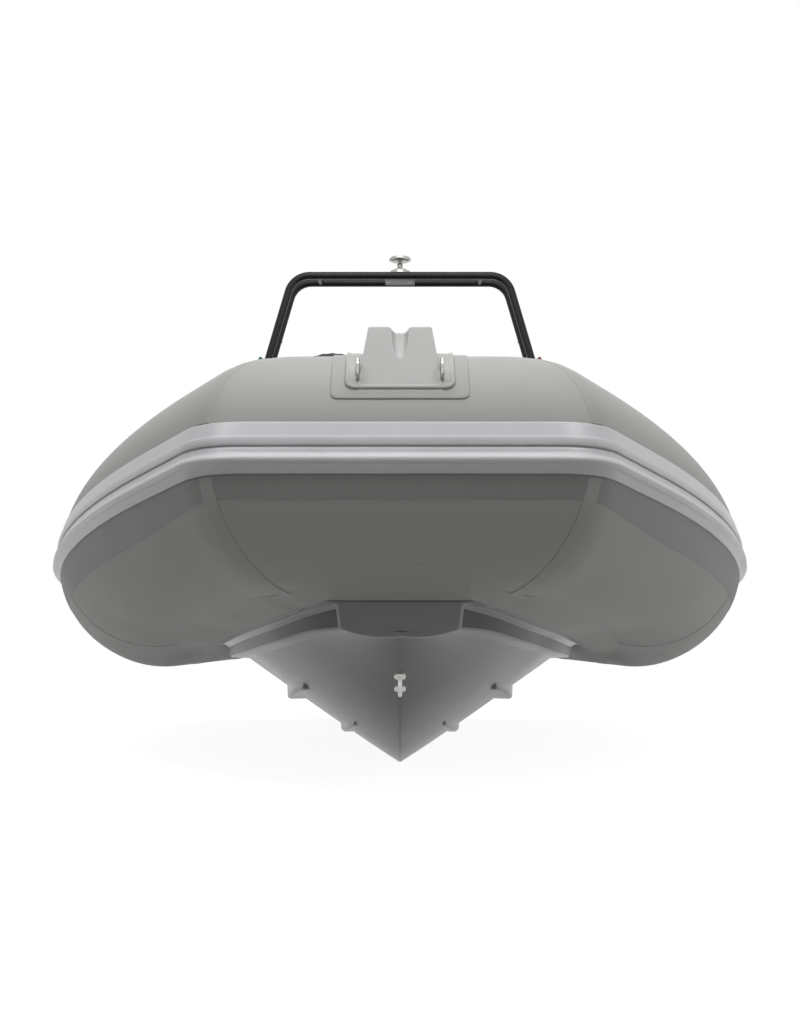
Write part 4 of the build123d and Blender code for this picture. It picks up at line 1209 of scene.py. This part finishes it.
throttle = {"pivot": (-0.0387, yOf(1.862), 0.724), "lever": (0.0085, 0.0065), "grip": 0.0096}
helmAxis = np.array([0.0, math.cos(helm["tilt"]), math.sin(helm["tilt"])])
helmUp = np.array([0.0, math.sin(helm["tilt"]), -math.cos(helm["tilt"])])


def onHelm(part):
    # own z is the steering axis towards the helmsman, own y points down the wheel
    return placed(part, helm["centre"], (1, 0, 0), helmUp, helmAxis)


def spoke():
    # a rounded flat bar that rises from the hub to the rim by a smooth step
    t = np.linspace(0, 1, 24)
    out = 0.024 + t * (helm["rimPath"] - 0.026)
    height = -0.042 + 0.040 * (3 * t ** 2 - 2 * t ** 3)
    half = 0.0145 - 0.004 * np.sin(math.pi * t) + 0.002 * t
    around = np.linspace(0, 2 * math.pi, 20, endpoint=False)
    wide, high = (np.sign(wave) * np.abs(wave) ** 0.6 for wave in (np.cos(around), np.sin(around)))
    points = np.stack([out[:, None] + 0 * wide, wide * half[:, None], height[:, None] + high * 0.0042], -1)
    faces = [gridFaces(24, 20, closeColumns=True), np.arange(20)[None, ::-1], np.arange(20)[None] + 23 * 20]
    return points.reshape(-1, 3), faces


def steeringWheel():
    # moulded rim with finger waves behind it, three dished spokes and a capped hub
    around = np.linspace(0, 2 * math.pi, 181)[:-1]
    count, deep = helm["fingers"]
    circle = np.stack([helm["rimPath"] * np.cos(around), helm["rimPath"] * np.sin(around), 0 * around], -1)
    rim = rodParts(circle, helm["rim"] - deep + deep * np.cos(around * count), closed=True)
    makePiece("wheelRim", [onHelm(rim)], rimGrip, body="wheel")
    parts = [onHelm(placed(spoke(), (0, 0, 0), (math.cos(angle), math.sin(angle), 0),
                           (-math.sin(angle), math.cos(angle), 0))) for angle in helm["spokes"]]
    parts.append(onHelm(lathe(helm["hub"], edge=0.003)))
    makePiece("wheelSpokes", parts, blackPlastic, "steering_wheel", "wheel", sharp=45)
    nut = onHelm(lathe([(0.0, -0.0155), (0.0075, -0.0157), (0.0085, -0.0165), (0.0085, -0.019)], steps=6))
    makePiece("wheelNut", [nut], stainless, body="wheel", sharp=30)


def dashPlate():
    # black panel on the sloping helm face above the wheel's boss, with three gauges
    back = -helm["standoff"]
    panel = block((0.286, 0.088, 0.005), 0.0022, (0, -0.088, back + 0.0015))
    bezels, glasses, marks = [], [], []
    for x in helm["gauges"]:
        spot = np.array([x, -0.089, back + 0.004])
        bezels.append(lathe(helm["bezel"], spot, edge=0.0012))
        glasses.append(lathe(helm["glass"], spot))
        for angle in np.radians(np.linspace(-220, 40, 14)):
            ray, beside = (math.cos(angle), math.sin(angle), 0), (-math.sin(angle), math.cos(angle), 0)
            place = spot + np.array(ray) * 0.0205 + (0, 0, 0.0034)
            marks.append(block((0.0042, 0.0009, 0.0006), 0.0002, place, ray, beside, steps=2))
        marks.append(block((0.017, 0.0011, 0.0008), 0.0003, spot + (-0.005, 0.005, 0.0038),
                           (-0.707, 0.707, 0), (-0.707, -0.707, 0), steps=2))
    for name, parts, material in (("dashPanel", [panel], blackPlastic), ("gaugeBezels", bezels, stainless),
                                  ("gaugeFaces", glasses, gaugeFace), ("gaugeMarks", marks, gaugeMark)):
        makePiece(name, [onHelm(part) for part in parts], material, sharp=50 if name == "dashPanel" else 40)


def dashSwitches():
    # rocker switches, and the start key in its barrel
    back, parts = -helm["standoff"], []
    for row, x in enumerate(helm["rockers"]):
        spot = np.array([x, 0.012 + 0.002 * (row % 2), back + 0.002])
        parts.append(block((0.016, 0.030, 0.006), 0.002, spot))
        parts.append(block((0.011, 0.023, 0.007), 0.0025, spot + (0, 0, 0.0022)))
    parts.append(lathe([(0.013, -0.001), (0.013, 0.006), (0.009, 0.008), (0, 0.008)], (0.122, 0.058, back),
                       edge=0.0015, steps=32))
    parts.append(block((0.003, 0.018, 0.016), 0.0012, (0.122, 0.058, back + 0.014)))
    makePiece("dashSwitches", [onHelm(part) for part in parts], blackPlastic, sharp=45)


def consoleHatch():
    # framed hatch with its turn latch and two hinges, on the leaning front
    middle, lean = (console["low"] + console["high"]) / 2, console["lean"]
    face, rise = np.array([0, -math.cos(lean), math.sin(lean)]), np.array([0, math.sin(lean), math.cos(lean)])
    spot = np.array([middle, yOf(console["front"] + 0.0025), console["hatch"]])
    over, latch = ((-1, 0, 0), rise, face), spot + rise * 0.092
    surround = block((0.210, 0.280, 0.008), 0.0035, spot, *over)
    door = block((0.180, 0.250, 0.014), 0.006, spot + face * 0.001, *over)
    makePiece("hatchFrame", [surround], linerGelcoat, sharp=50)
    makePiece("hatchDoor", [door], linerGelcoat, sharp=50)
    knob = [(0.0165, -0.003), (0.0165, 0.0), (0.0150, 0.0045), (0.0, 0.0050)]
    parts = [lathe(knob, latch + face * 0.0082, (1, 0, 0), rise, face, edge=0.0012),
             block((0.004, 0.022, 0.010), 0.0015, latch + face * 0.015, (1, 0, 0), rise, face)]
    for height in (-0.085, 0.085):
        hinge = spot + face * 0.0075 + rise * height + np.array([0.094, 0, 0])
        parts.append(rodParts(np.linspace(hinge - rise * 0.022, hinge + rise * 0.022, 5), 0.0038, 16))
    makePiece("hatchFittings", parts, stainless, sharp=40)


def consoleTrim():
    # vents on both sides and a foot flange
    low, high, front, back = (console[key] for key in ("low", "high", "front", "back"))
    louvres = [block((0.005, 0.110, 0.007), 0.0022, (x, yOf(console["vents"]), 0.230 + k * 0.018))
               for k in range(5) for x in (low - 0.0004, high + 0.0004)]
    makePiece("consoleVents", louvres, blackPlastic, sharp=45)
    skirt = block((high - low + 0.012, back - front + 0.012, 0.008), 0.0035,
                  ((low + high) / 2, yOf((front + back) / 2), 0.114))
    makePiece("consoleFoot", [skirt], blackPlastic, sharp=50)


def throttleBox():
    # side-mounted control: shell, pivot cap and a bent lever with a cross grip
    x, y, z = throttle["pivot"]
    parts = [block((0.034, 0.088, 0.098), 0.012, (x + 0.017, y, z - 0.010), steps=6),
             lathe([(0.0215, -0.002), (0.0215, 0.007), (0.0165, 0.012), (0.0, 0.0125)], (x + 0.034, y, z),
                   (0, 1, 0), (0, 0, 1), (1, 0, 0), edge=0.003)]
    bend = [(x + 0.041, y, z), (x + 0.041, y - 0.004, z + 0.045), (x + 0.038, y - 0.011, z + 0.104)]
    lever = arcPath(bend, [0.05])
    parts.append(rodParts(lever, np.linspace(*throttle["lever"], len(lever)), 20))
    grip = np.linspace((x + 0.0125, y - 0.0125, z + 0.1045), (x + 0.0595, y - 0.0125, z + 0.1045), 14)
    parts.append(rodParts(grip, throttle["grip"] + 0.0012 * np.sin(np.linspace(0, math.pi, 14))))
    makePiece("throttleControl", parts, blackPlastic, "throttle", sharp=50)


steeringWheel()
dashPlate()
dashSwitches()
consoleHatch()
consoleTrim()
throttleBox()
print("helm made")


# cushions

# normal is the side that faces the sitter, cap the most that the cloth may swell
seats = {
    "benchCushion": {"node": "bench_cushion", "body": "bench_seat", "low": (-0.377, yOf(2.244), 0.4648),
                     "high": (0.377, yOf(2.636), 0.5248), "normal": (0, 0, 1), "cap": 0.010, "fill": 0.7},
    "backrestCushion": {"node": "backrest", "body": "boat", "low": (-0.375, yOf(2.6545), 0.545),
                        "high": (0.375, yOf(2.7135), 0.830), "normal": (0, -1, 0), "cap": 0.010,
                        "fill": 0.65},
}
sewing = {
    "corner": 0.030,
    "channels": (-0.6, -0.2, 0.2, 0.6),
    "channelHalf": 0.006,
    "deep": 0.0065,
    "border": 0.030,
    "borderHalf": 0.005,
    "piping": 0.0032,
    "pipingHeights": {"Front": 0.27, "Back": -0.27},
    "slab": [(0.018, -0.5), (0.004, -0.40), (0.0, -0.2), (0.0, 0.2), (0.004, 0.40), (0.018, 0.5)],
}
cloth = {"voxel": 0.006, "pressure": 4.0, "quality": 4, "frames": 20}


def slabPoints(half, thick):
    # closed slab in its own axes: a rounded rectangle whose sides pull in, under flat faces
    outline = roundedRing(half[0], half[1], sewing["corner"], 121)
    onSide = np.abs(outline)[:, ::-1] / half[::-1] > 0.98
    bow = np.cos(outline / half * math.pi / 2) * onSide
    outline = outline * (1 - 0.012 * bow.sum(axis=1, keepdims=True))
    rows = [(1 - inset / half, height) for inset, height in sewing["slab"]]
    shares = [1 - inset for inset in np.linspace(0.12, 0.94, 10)]
    rows = [(share, -0.5) for share in shares[::-1]] + rows + [(share, 0.5) for share in shares]
    grid = np.array([np.column_stack([outline * scale, np.full(len(outline), height * thick)])
                     for scale, height in rows])
    rows, count = grid.shape[:2]
    faces = [gridFaces(rows, count, closeColumns=True)]
    return grid, faces + capFaces(count, over=True) + capFaces(count, (rows - 1) * count)


def vertexPoints(mesh):
    # the mesh's points as rows
    points = np.zeros(len(mesh.vertices) * 3)
    mesh.vertices.foreach_get("co", points)
    return points.reshape(-1, 3)


def puffed(name, points, faces, cap):
    # swells a slab as cloth under a light pressure and gives back the new surface
    start = newObject(name + "Start", points, faces)
    bpy.context.view_layer.objects.active = start
    remesh = start.modifiers.new("remesh", "REMESH")
    remesh.mode, remesh.voxel_size = "VOXEL", cloth["voxel"]
    bpy.ops.object.modifier_apply(modifier="remesh")
    before = vertexPoints(start.data)
    fabric = start.modifiers.new("cloth", "CLOTH")
    fabric.settings.use_pressure = True
    fabric.settings.uniform_pressure_force = cloth["pressure"]
    fabric.settings.effector_weights.gravity = 0.0
    fabric.settings.quality = cloth["quality"]
    fabric.point_cache.frame_start, fabric.point_cache.frame_end = 1, cloth["frames"]
    for number in range(1, cloth["frames"] + 1):
        bpy.context.scene.frame_set(number)
    bpy.ops.object.modifier_apply(modifier="cloth")
    bpy.context.scene.frame_set(1)
    move = vertexPoints(start.data) - before
    length = np.linalg.norm(move, axis=1, keepdims=True)
    quads = np.array([list(polygon.vertices) for polygon in start.data.polygons])
    bpy.data.objects.remove(start)
    return before + move * np.minimum(1.0, cap / np.maximum(length, 1e-9)), quads


def sewnFace(points, half, thick):
    # presses channels and a border into the front face, each valley a bell curve, and limits the swelling
    x, y, z = points.T
    room = np.clip((half[1] - sewing["border"] - np.abs(y)) / 0.012, 0, 1)
    middles = (place * half[0] for place in sewing["channels"])
    valley = np.max([np.exp(-((x - middle) / sewing["channelHalf"]) ** 2) for middle in middles], axis=0)
    inside = np.maximum(np.abs(x) - half[0], np.abs(y) - half[1]) + sewing["border"]
    border = 0.7 * np.exp(-(inside / sewing["borderHalf"]) ** 2)
    z = z - sewing["deep"] * np.maximum(valley * room, border) * (z > thick * 0.2)
    return np.stack([x, y, np.clip(z, -thick / 2 + 0.0004, thick / 2 + 0.006)], -1)


def seamRing(half, points, height):
    # a rounded rectangle moved in or out to a pad's own surface at one height, and smoothed
    outline = roundedRing(half[0], half[1], sewing["corner"] + 0.001, 121)
    band = points[np.abs(points[:, 2] - height) < 0.005, :2]
    along = unit(np.roll(outline, -1, 0) - np.roll(outline, 1, 0))
    out = np.stack([along[:, 1], -along[:, 0]], -1)
    gap = band[None] - outline[:, None]
    beside = np.abs((gap * along[:, None]).sum(-1)) < 0.007
    reach = np.where(beside, (gap * out[:, None]).sum(-1), -1.0).max(axis=1)
    steady = np.stack([np.roll(reach, k) for k in range(-4, 5)]).mean(axis=0)
    return np.column_stack([outline + out * steady[:, None], np.full(len(outline), height)])


def cushion(name, seat):
    # sewn pad: a swollen slab with stitched channels across it and piping round both edges
    low, high, normal = (np.array(seat[key], float) for key in ("low", "high", "normal"))
    size, up = high - low, np.cross(normal, (1.0, 0, 0))
    axes = (low + high) / 2, (1.0, 0, 0), up, normal
    thick = abs(size @ normal)
    half = np.array([size[0], abs(size @ up)]) / 2 - 0.007
    points, quads = puffed(name, *slabPoints(half, thick - 0.018), seat["cap"])
    # the swelling draws the edges in, so the plan is let out again to its size
    points[:, :2] *= (half + 0.003) / np.abs(points[:, :2]).max(axis=0)
    points = sewnFace(points, half, thick)
    piece = makePiece(name, [placed((points, [quads]), *axes)], vinyl, seat["node"], seat["body"])
    soft = piece.modifiers.new("soft", "SUBSURF")
    soft.levels = soft.render_levels = 1
    for label, share in sewing["pipingHeights"].items():
        piping = rodParts(seamRing(half, points, share * thick), sewing["piping"], 12, closed=True)
        makePiece(name + "Piping" + label, [placed(piping, *axes)], pipingVinyl, body=seat["body"])


for name, seat in seats.items():
    cushion(name, seat)
print("cushions made")


# lids, latches and deck hardware

aft = (1, 0, 0), (0, 0, -1), (0, 1, 0)  # axes of a turned part that points aft
stern = {"eyeX": 0.345, "eyes": (0.251, 0.219), "bungX": 0.200, "padX": (-0.120, 0.0, 0.120),
         "padZ": (0.150, 0.262)}


def pullLatch(name, place, face, rise, body):
    # stainless flush latch: a plate with a recessed ring pull
    place, face, rise = (np.array(vector, float) for vector in (place, face, rise))
    axes = np.cross(rise, face), rise, face
    around = np.linspace(0, 2 * math.pi, 49)[:-1]
    loop = np.stack([0.0125 * np.cos(around), 0.0125 * np.sin(around) - 0.004, 0 * around + 0.0042], -1)
    parts = [block((0.040, 0.052, 0.004), 0.0018, place, *axes),
             placed(rodParts(loop, 0.0022, 12, closed=True), place, *axes),
             block((0.016, 0.006, 0.006), 0.002, place + rise * 0.0095 + face * 0.003, *axes)]
    makePiece(name, parts, stainless, body=body, sharp=45)


def lidHardware():
    # latches of the locker lid and of the bench's front, and the rubber seal line under the locker lid
    pullLatch("lockerLatch", (0.0, yOf(0.780), 0.3008), (0, 0, 1), (0, -1, 0), "locker_lid")
    for name, side in sides.items():
        place = side * 0.22, yOf(2.6405), 0.420
        pullLatch("benchLatch" + name.capitalize(), place, (0, 1, 0), (0, 0, 1), "boat")
    low, high, front, back, z = -0.168, 0.168, yOf(0.432), yOf(0.803), 0.2852
    corners = [(low, front, z), (high, front, z), (high, back, z), (low, back, z)]
    path = [np.linspace(a, b, 12, endpoint=False) for a, b in zip(corners, corners[1:] + corners[:1])]
    makePiece("lidSeal", [rodParts(np.concatenate(path), 0.0010, 8, closed=True)], blackPlastic)


def benchFront():
    # pressed panels with vents on the bench's front, and the backrest's bolts
    panels = [block((0.320, 0.006, 0.200), 0.0028, (x, yOf(2.2395), 0.285)) for x in (-0.185, 0.185)]
    makePiece("benchPanels", panels, linerGelcoat, sharp=50)
    vents = [block((0.120, 0.005, 0.006), 0.002, (x, yOf(2.2365), 0.245 + 0.016 * k))
             for x in (-0.185, 0.185) for k in range(6)]
    makePiece("benchVents", vents, blackPlastic, sharp=45)
    bolts = [part for x in (-0.2477, 0.2477) for z in (0.330, 0.390)
             for part in bolt((x, yOf(2.6483), z), (0, 1, 0), 0.006, 0.005)]
    makePiece("backrestBolts", bolts, stainless, sharp=35)


def transomFittings():
    # the stern eyes on their plates, two drain bungs, a scupper flap, clamp pad screws and the transom's cap
    metal, rubber = [], []
    y, (high, low) = yOf(3.1603), stern["eyes"]
    nut = [(0.0085, 0.0), (0.0085, 0.004), (0.0052, 0.0055), (0.0, 0.0055)]
    bung = [(0.022, -0.001), (0.021, 0.003), (0.0085, 0.004), (0.008, 0.0095), (0.0, 0.010)]
    for side in sides.values():
        x = side * stern["eyeX"]
        metal.append(block((0.036, 0.003, 0.062), 0.0014, (x, y + 0.0012, (high + low) / 2)))
        loop = [(x, y - 0.001, high), (x, y + 0.041, high), (x, y + 0.041, low), (x, y - 0.001, low)]
        metal.append(rodParts(arcPath(loop, [0.0145, 0.0145]), 0.004, 20))
        metal += [lathe(nut, (x, y + 0.002, z), *aft, edge=0.0012, steps=6) for z in (high, low)]
        rubber.append(lathe(bung, (side * stern["bungX"], y, 0.030), *aft, edge=0.0012))
    makePiece("sternEyes", metal, stainless, "stern_eyes", sharp=40)
    rubber.append(block((0.130, 0.006, 0.062), 0.0028, (0.0, y + 0.0022, 0.075)))
    rubber.append(rodParts(np.linspace((-0.055, y + 0.006, 0.105), (0.055, y + 0.006, 0.105), 6), 0.0042, 14))
    makePiece("transomRubber", rubber, blackPlastic, sharp=45)
    screws = [part for x in stern["padX"] for z in stern["padZ"]
              for part in bolt((x, yOf(3.1702), z), (0, 1, 0), 0.0045, 0.0035)]
    makePiece("padScrews", screws, stainless, sharp=35)
    cap = block((0.486, 0.058, 0.010), 0.0045, (0, yOf(3.135), 0.3035))
    makePiece("transomCap", [cap], blackPlastic, sharp=50)


lidHardware()
benchFront()
transomFittings()
print("hardware made")


# tube fittings

sternCap = {
    "station": 3.490,
    # radius and height: a cup's flat end, its shoulder and a ribbed wall
    "rows": [(0.0, 0.034), (0.050, 0.034), (0.070, 0.0325), (0.084, 0.027), (0.0925, 0.018), (0.0955, 0.010),
             (0.0948, 0.0085), (0.0958, 0.0070), (0.0950, 0.0055), (0.0960, 0.0040), (0.0952, 0.0025),
             (0.0960, 0.001), (0.0960, 0.0)],
}
handles = {"stations": (1.900, 2.500), "z": 0.420, "foot": (0.034, 0.030, 0.014), "footOut": 0.083,
           "pad": ((1.0, 0.0003), (0.99, 0.0022), (0.93, 0.0030), (0.75, 0.0032), (0.45, 0.0050),
                   (0.15, 0.0056))}
valve = {
    "stations": (1.950, 2.950),
    "angle": math.radians(128.0),
    # a flange, a ring and a domed cap
    "rows": [(0.034, 0.0), (0.034, 0.0030), (0.024, 0.0042), (0.023, 0.0085), (0.019, 0.0100),
             (0.0185, 0.0075), (0.016, 0.0078), (0.0155, 0.0125), (0.0, 0.0135)],
}


def sternCaps():
    # moulded cup over each cone's end, turned to point aft
    for name, side in sides.items():
        place = side * tubeX, yOf(sternCap["station"]), boat["tubeZ"]
        points, faces = lathe(sternCap["rows"], place, *aft, edge=0.004, steps=72, roundSteps=4)
        part = points, [face[:, ::-1] for face in faces]
        makePiece("sternCap_" + name, [part], mouldedRubber, "stern_cap_" + name, sharp=40)


def carryHandles():
    # soft moulded grips, a little thicker in the middle
    grips, z = [], handles["z"]
    for y in map(yOf, handles["stations"]):
        path = arcPath([(-tubeX, y - 0.078, z - 0.006), (-tubeX, y - 0.062, z + 0.047),
                        (-tubeX, y + 0.062, z + 0.047), (-tubeX, y + 0.078, z - 0.006)], [0.026, 0.026], 10)
        grip = rodParts(path, 0.0094 + 0.0006 * (1 - np.linspace(-1, 1, len(path)) ** 2))
        grips += [grip, mirrored(grip)]
    makePiece("grabHandles", grips, mouldedRubber, "grab_handles", sharp=50)


def handleFeet():
    # a pad glued round the tube under each end of a grip
    outline = roundedRing(*handles["foot"], 41)
    for number, station in enumerate(handles["stations"]):
        for end, sign in (("Fore", -1), ("Aft", 1)):
            y, rows = yOf(station) + sign * handles["footOut"], []
            for scale, lift in handles["pad"]:
                out, up = onTube(math.pi / 2 + outline[:, 0] * scale / boat["tubeRadius"], lift)
                rows.append(np.stack([-tubeX - out, y + outline[:, 1] * scale, boat["tubeZ"] + up], -1))
            for side in sides:
                gridPiece("handleFoot%s%d_%s" % (end, number, side), np.array(rows), mouldedRubber, side=side,
                          flip=True, closed=True)


def valves():
    # inflation valves on the inboard side of each tube
    across, rise = math.cos(valve["angle"]), math.sin(valve["angle"])
    out, up = np.array([-across, 0, rise]), np.array([rise, 0, across])
    for number, station in enumerate(valve["stations"]):
        foot = np.array([-tubeX, yOf(station), boat["tubeZ"]]) + out * (boat["tubeRadius"] + 0.0006)
        part = lathe(valve["rows"], foot, (0, 1, 0), up, out, edge=0.0012)
        for name in sides:
            made = mirrored(part) if name == "port" else part
            makePiece("valve%s%d" % (name.capitalize(), number), [made], blackPlastic, sharp=40)


def hoopTapes():
    # seams round the tube above and below the strake, where lengths of tube are joined
    upper, lower = (math.radians(limit) for limit in (tapes["upper"][0], tapes["lower"][1]))
    for number, run in enumerate(tapes["hoopRuns"]):
        runs = run + edged(0.0, tapes["hoopWidth"], 4)
        for name, kept in (("Upper", ringAngles > upper), ("Lower", ringAngles < lower)):
            angles = ringAngles[kept]
            tape("hoopTape%s%d" % (name, number), squareTo(runs, angles), angles, tapes["hoopLift"])


sternCaps()
carryHandles()
handleFeet()
valves()
hoopTapes()
print("tube fittings made")


# camera, light and floor

view = {"height": 36.0, "lens": 36.0 * 1588.5 / 1015.0, "tilt": 94.76,
        "place": (0.0, yOf(-2.9), bowZ - 0.298)}
# place, aim, width, height and power in watts
lamps = {
    "key": ((0.0, -1.4, 3.4), (0, -0.5, 0.3), 2.2, 4.0, 76.0),
    "left": ((-3.8, -1.6, 2.0), (0, -0.4, 0.3), 2.0, 1.6, 3.0),
    "right": ((3.8, -1.6, 1.4), (0, -0.4, 0.3), 2.0, 1.6, 12.0),
    "back": ((0.0, 4.4, 2.6), (0, 1.0, 0.4), 3.5, 2.0, 40.0),
    "front": ((0.0, -4.9, 0.15), (0, -1.6, 0.1), 2.4, 0.5, 3.0),
    "shoulderLeft": ((-1.25, -2.7, 2.4), (-0.5, -1.6, 0.5), 0.8, 0.8, 15.0),
    "shoulderRight": ((1.25, -2.7, 2.4), (0.5, -1.6, 0.5), 0.8, 0.8, 15.0),
}
sky = {"horizon": 0.03, "overhead": 0.26}
floor = {"half": 30.0, "below": 0.001, "grey": 0.32, "glow": 0.93, "matt": 0.5}


def seenDirectly(tree):
    # one for rays from the camera, off a gloss or through glass, and nought for the soft light
    rays = addNode(tree, "ShaderNodeLightPath")
    value = rays.outputs["Is Camera Ray"]
    for other in ("Is Glossy Ray", "Is Transmission Ray"):
        larger = addNode(tree, "ShaderNodeMath", operation="MAXIMUM")
        link(tree, value, larger.inputs[0])
        link(tree, rays.outputs[other], larger.inputs[1])
        value = larger.outputs["Value"]
    return value


def skyStrength(world):
    # soft light that fades from overhead to the horizon; plain white where it is seen
    height = addNode(world, "ShaderNodeSeparateXYZ")
    link(world, addNode(world, "ShaderNodeTexCoord").outputs["Generated"], height.inputs[0])
    soft = ranged(world, height.outputs["Z"], sky["horizon"], sky["overhead"], 0.0, 0.9)
    blend = addNode(world, "ShaderNodeMix", {3: 1.0}, data_type="FLOAT")
    link(world, seenDirectly(world), blend.inputs[0])
    link(world, soft, blend.inputs[2])
    return blend.outputs[0]


def floorPaint():
    # near white where it is seen, so that only the shadow shows, and a plain grey to the soft light
    material = newMaterial("studio floor", [floor["grey"]] * 3, 0.9)
    glow = addNode(material, "ShaderNodeEmission", {"Color": (1, 1, 1, 1), "Strength": floor["glow"]})
    matt = addNode(material, "ShaderNodeBsdfDiffuse", {"Color": [floor["matt"]] * 3 + [1]})
    both, mixed = addNode(material, "ShaderNodeAddShader"), addNode(material, "ShaderNodeMixShader")
    link(material, glow.outputs[0], both.inputs[0])
    link(material, matt.outputs[0], both.inputs[1])
    link(material, seenDirectly(material), mixed.inputs[0])
    link(material, shaderOf(material).outputs[0], mixed.inputs[1])
    link(material, both.outputs[0], mixed.inputs[2])
    link(material, mixed.outputs[0], material.node_tree.nodes["Material Output"].inputs["Surface"])
    return material


def addObject(name, data, place, turned=(0, 0, 0)):
    # an object of the studio, at a place and turned by its angles
    made = bpy.data.objects.new(name, data)
    made.location, made.rotation_euler = place, turned
    bpy.context.scene.collection.objects.link(made)
    return made


def addCamera():
    # the fitted view, looking slightly up at the bow
    camera = bpy.data.cameras.new("camera")
    camera.sensor_fit, camera.sensor_height = "VERTICAL", view["height"]
    camera.lens, camera.clip_end = view["lens"], 100.0
    bpy.context.scene.camera = addObject("camera", camera, view["place"], (math.radians(view["tilt"]), 0, 0))


def addLamps():
    # each lamp turned from straight down to its aim
    for name, (place, aim, width, height, power) in lamps.items():
        light = bpy.data.lights.new(name, "AREA")
        light.shape, light.size, light.size_y, light.energy = "RECTANGLE", width, height, power
        x, y, z = np.array(aim) - np.array(place)
        addObject(name, light, place, (math.atan2(math.hypot(x, y), -z), 0, math.atan2(-x, y)))


def addSurroundings():
    # the soft sky, and a floor at the keel
    world = bpy.data.worlds.new("studio")
    world.use_nodes = True
    background = world.node_tree.nodes["Background"]
    background.inputs["Color"].default_value = (1, 1, 1, 1)
    link(world, skyStrength(world), background.inputs["Strength"])
    bpy.context.scene.world = world
    bpy.context.scene.view_settings.view_transform = "Standard"
    paint = floorPaint()
    half, low = floor["half"], cadBounds[0][2] - floor["below"]
    corners = [(-half, -half, low), (half, -half, low), (half, half, low), (-half, half, low)]
    ground = newObject("floor", corners, [np.array([[0, 1, 2, 3]])])
    ground.data.materials.append(paint)


addCamera()
addLamps()
addSurroundings()
print("studio made")
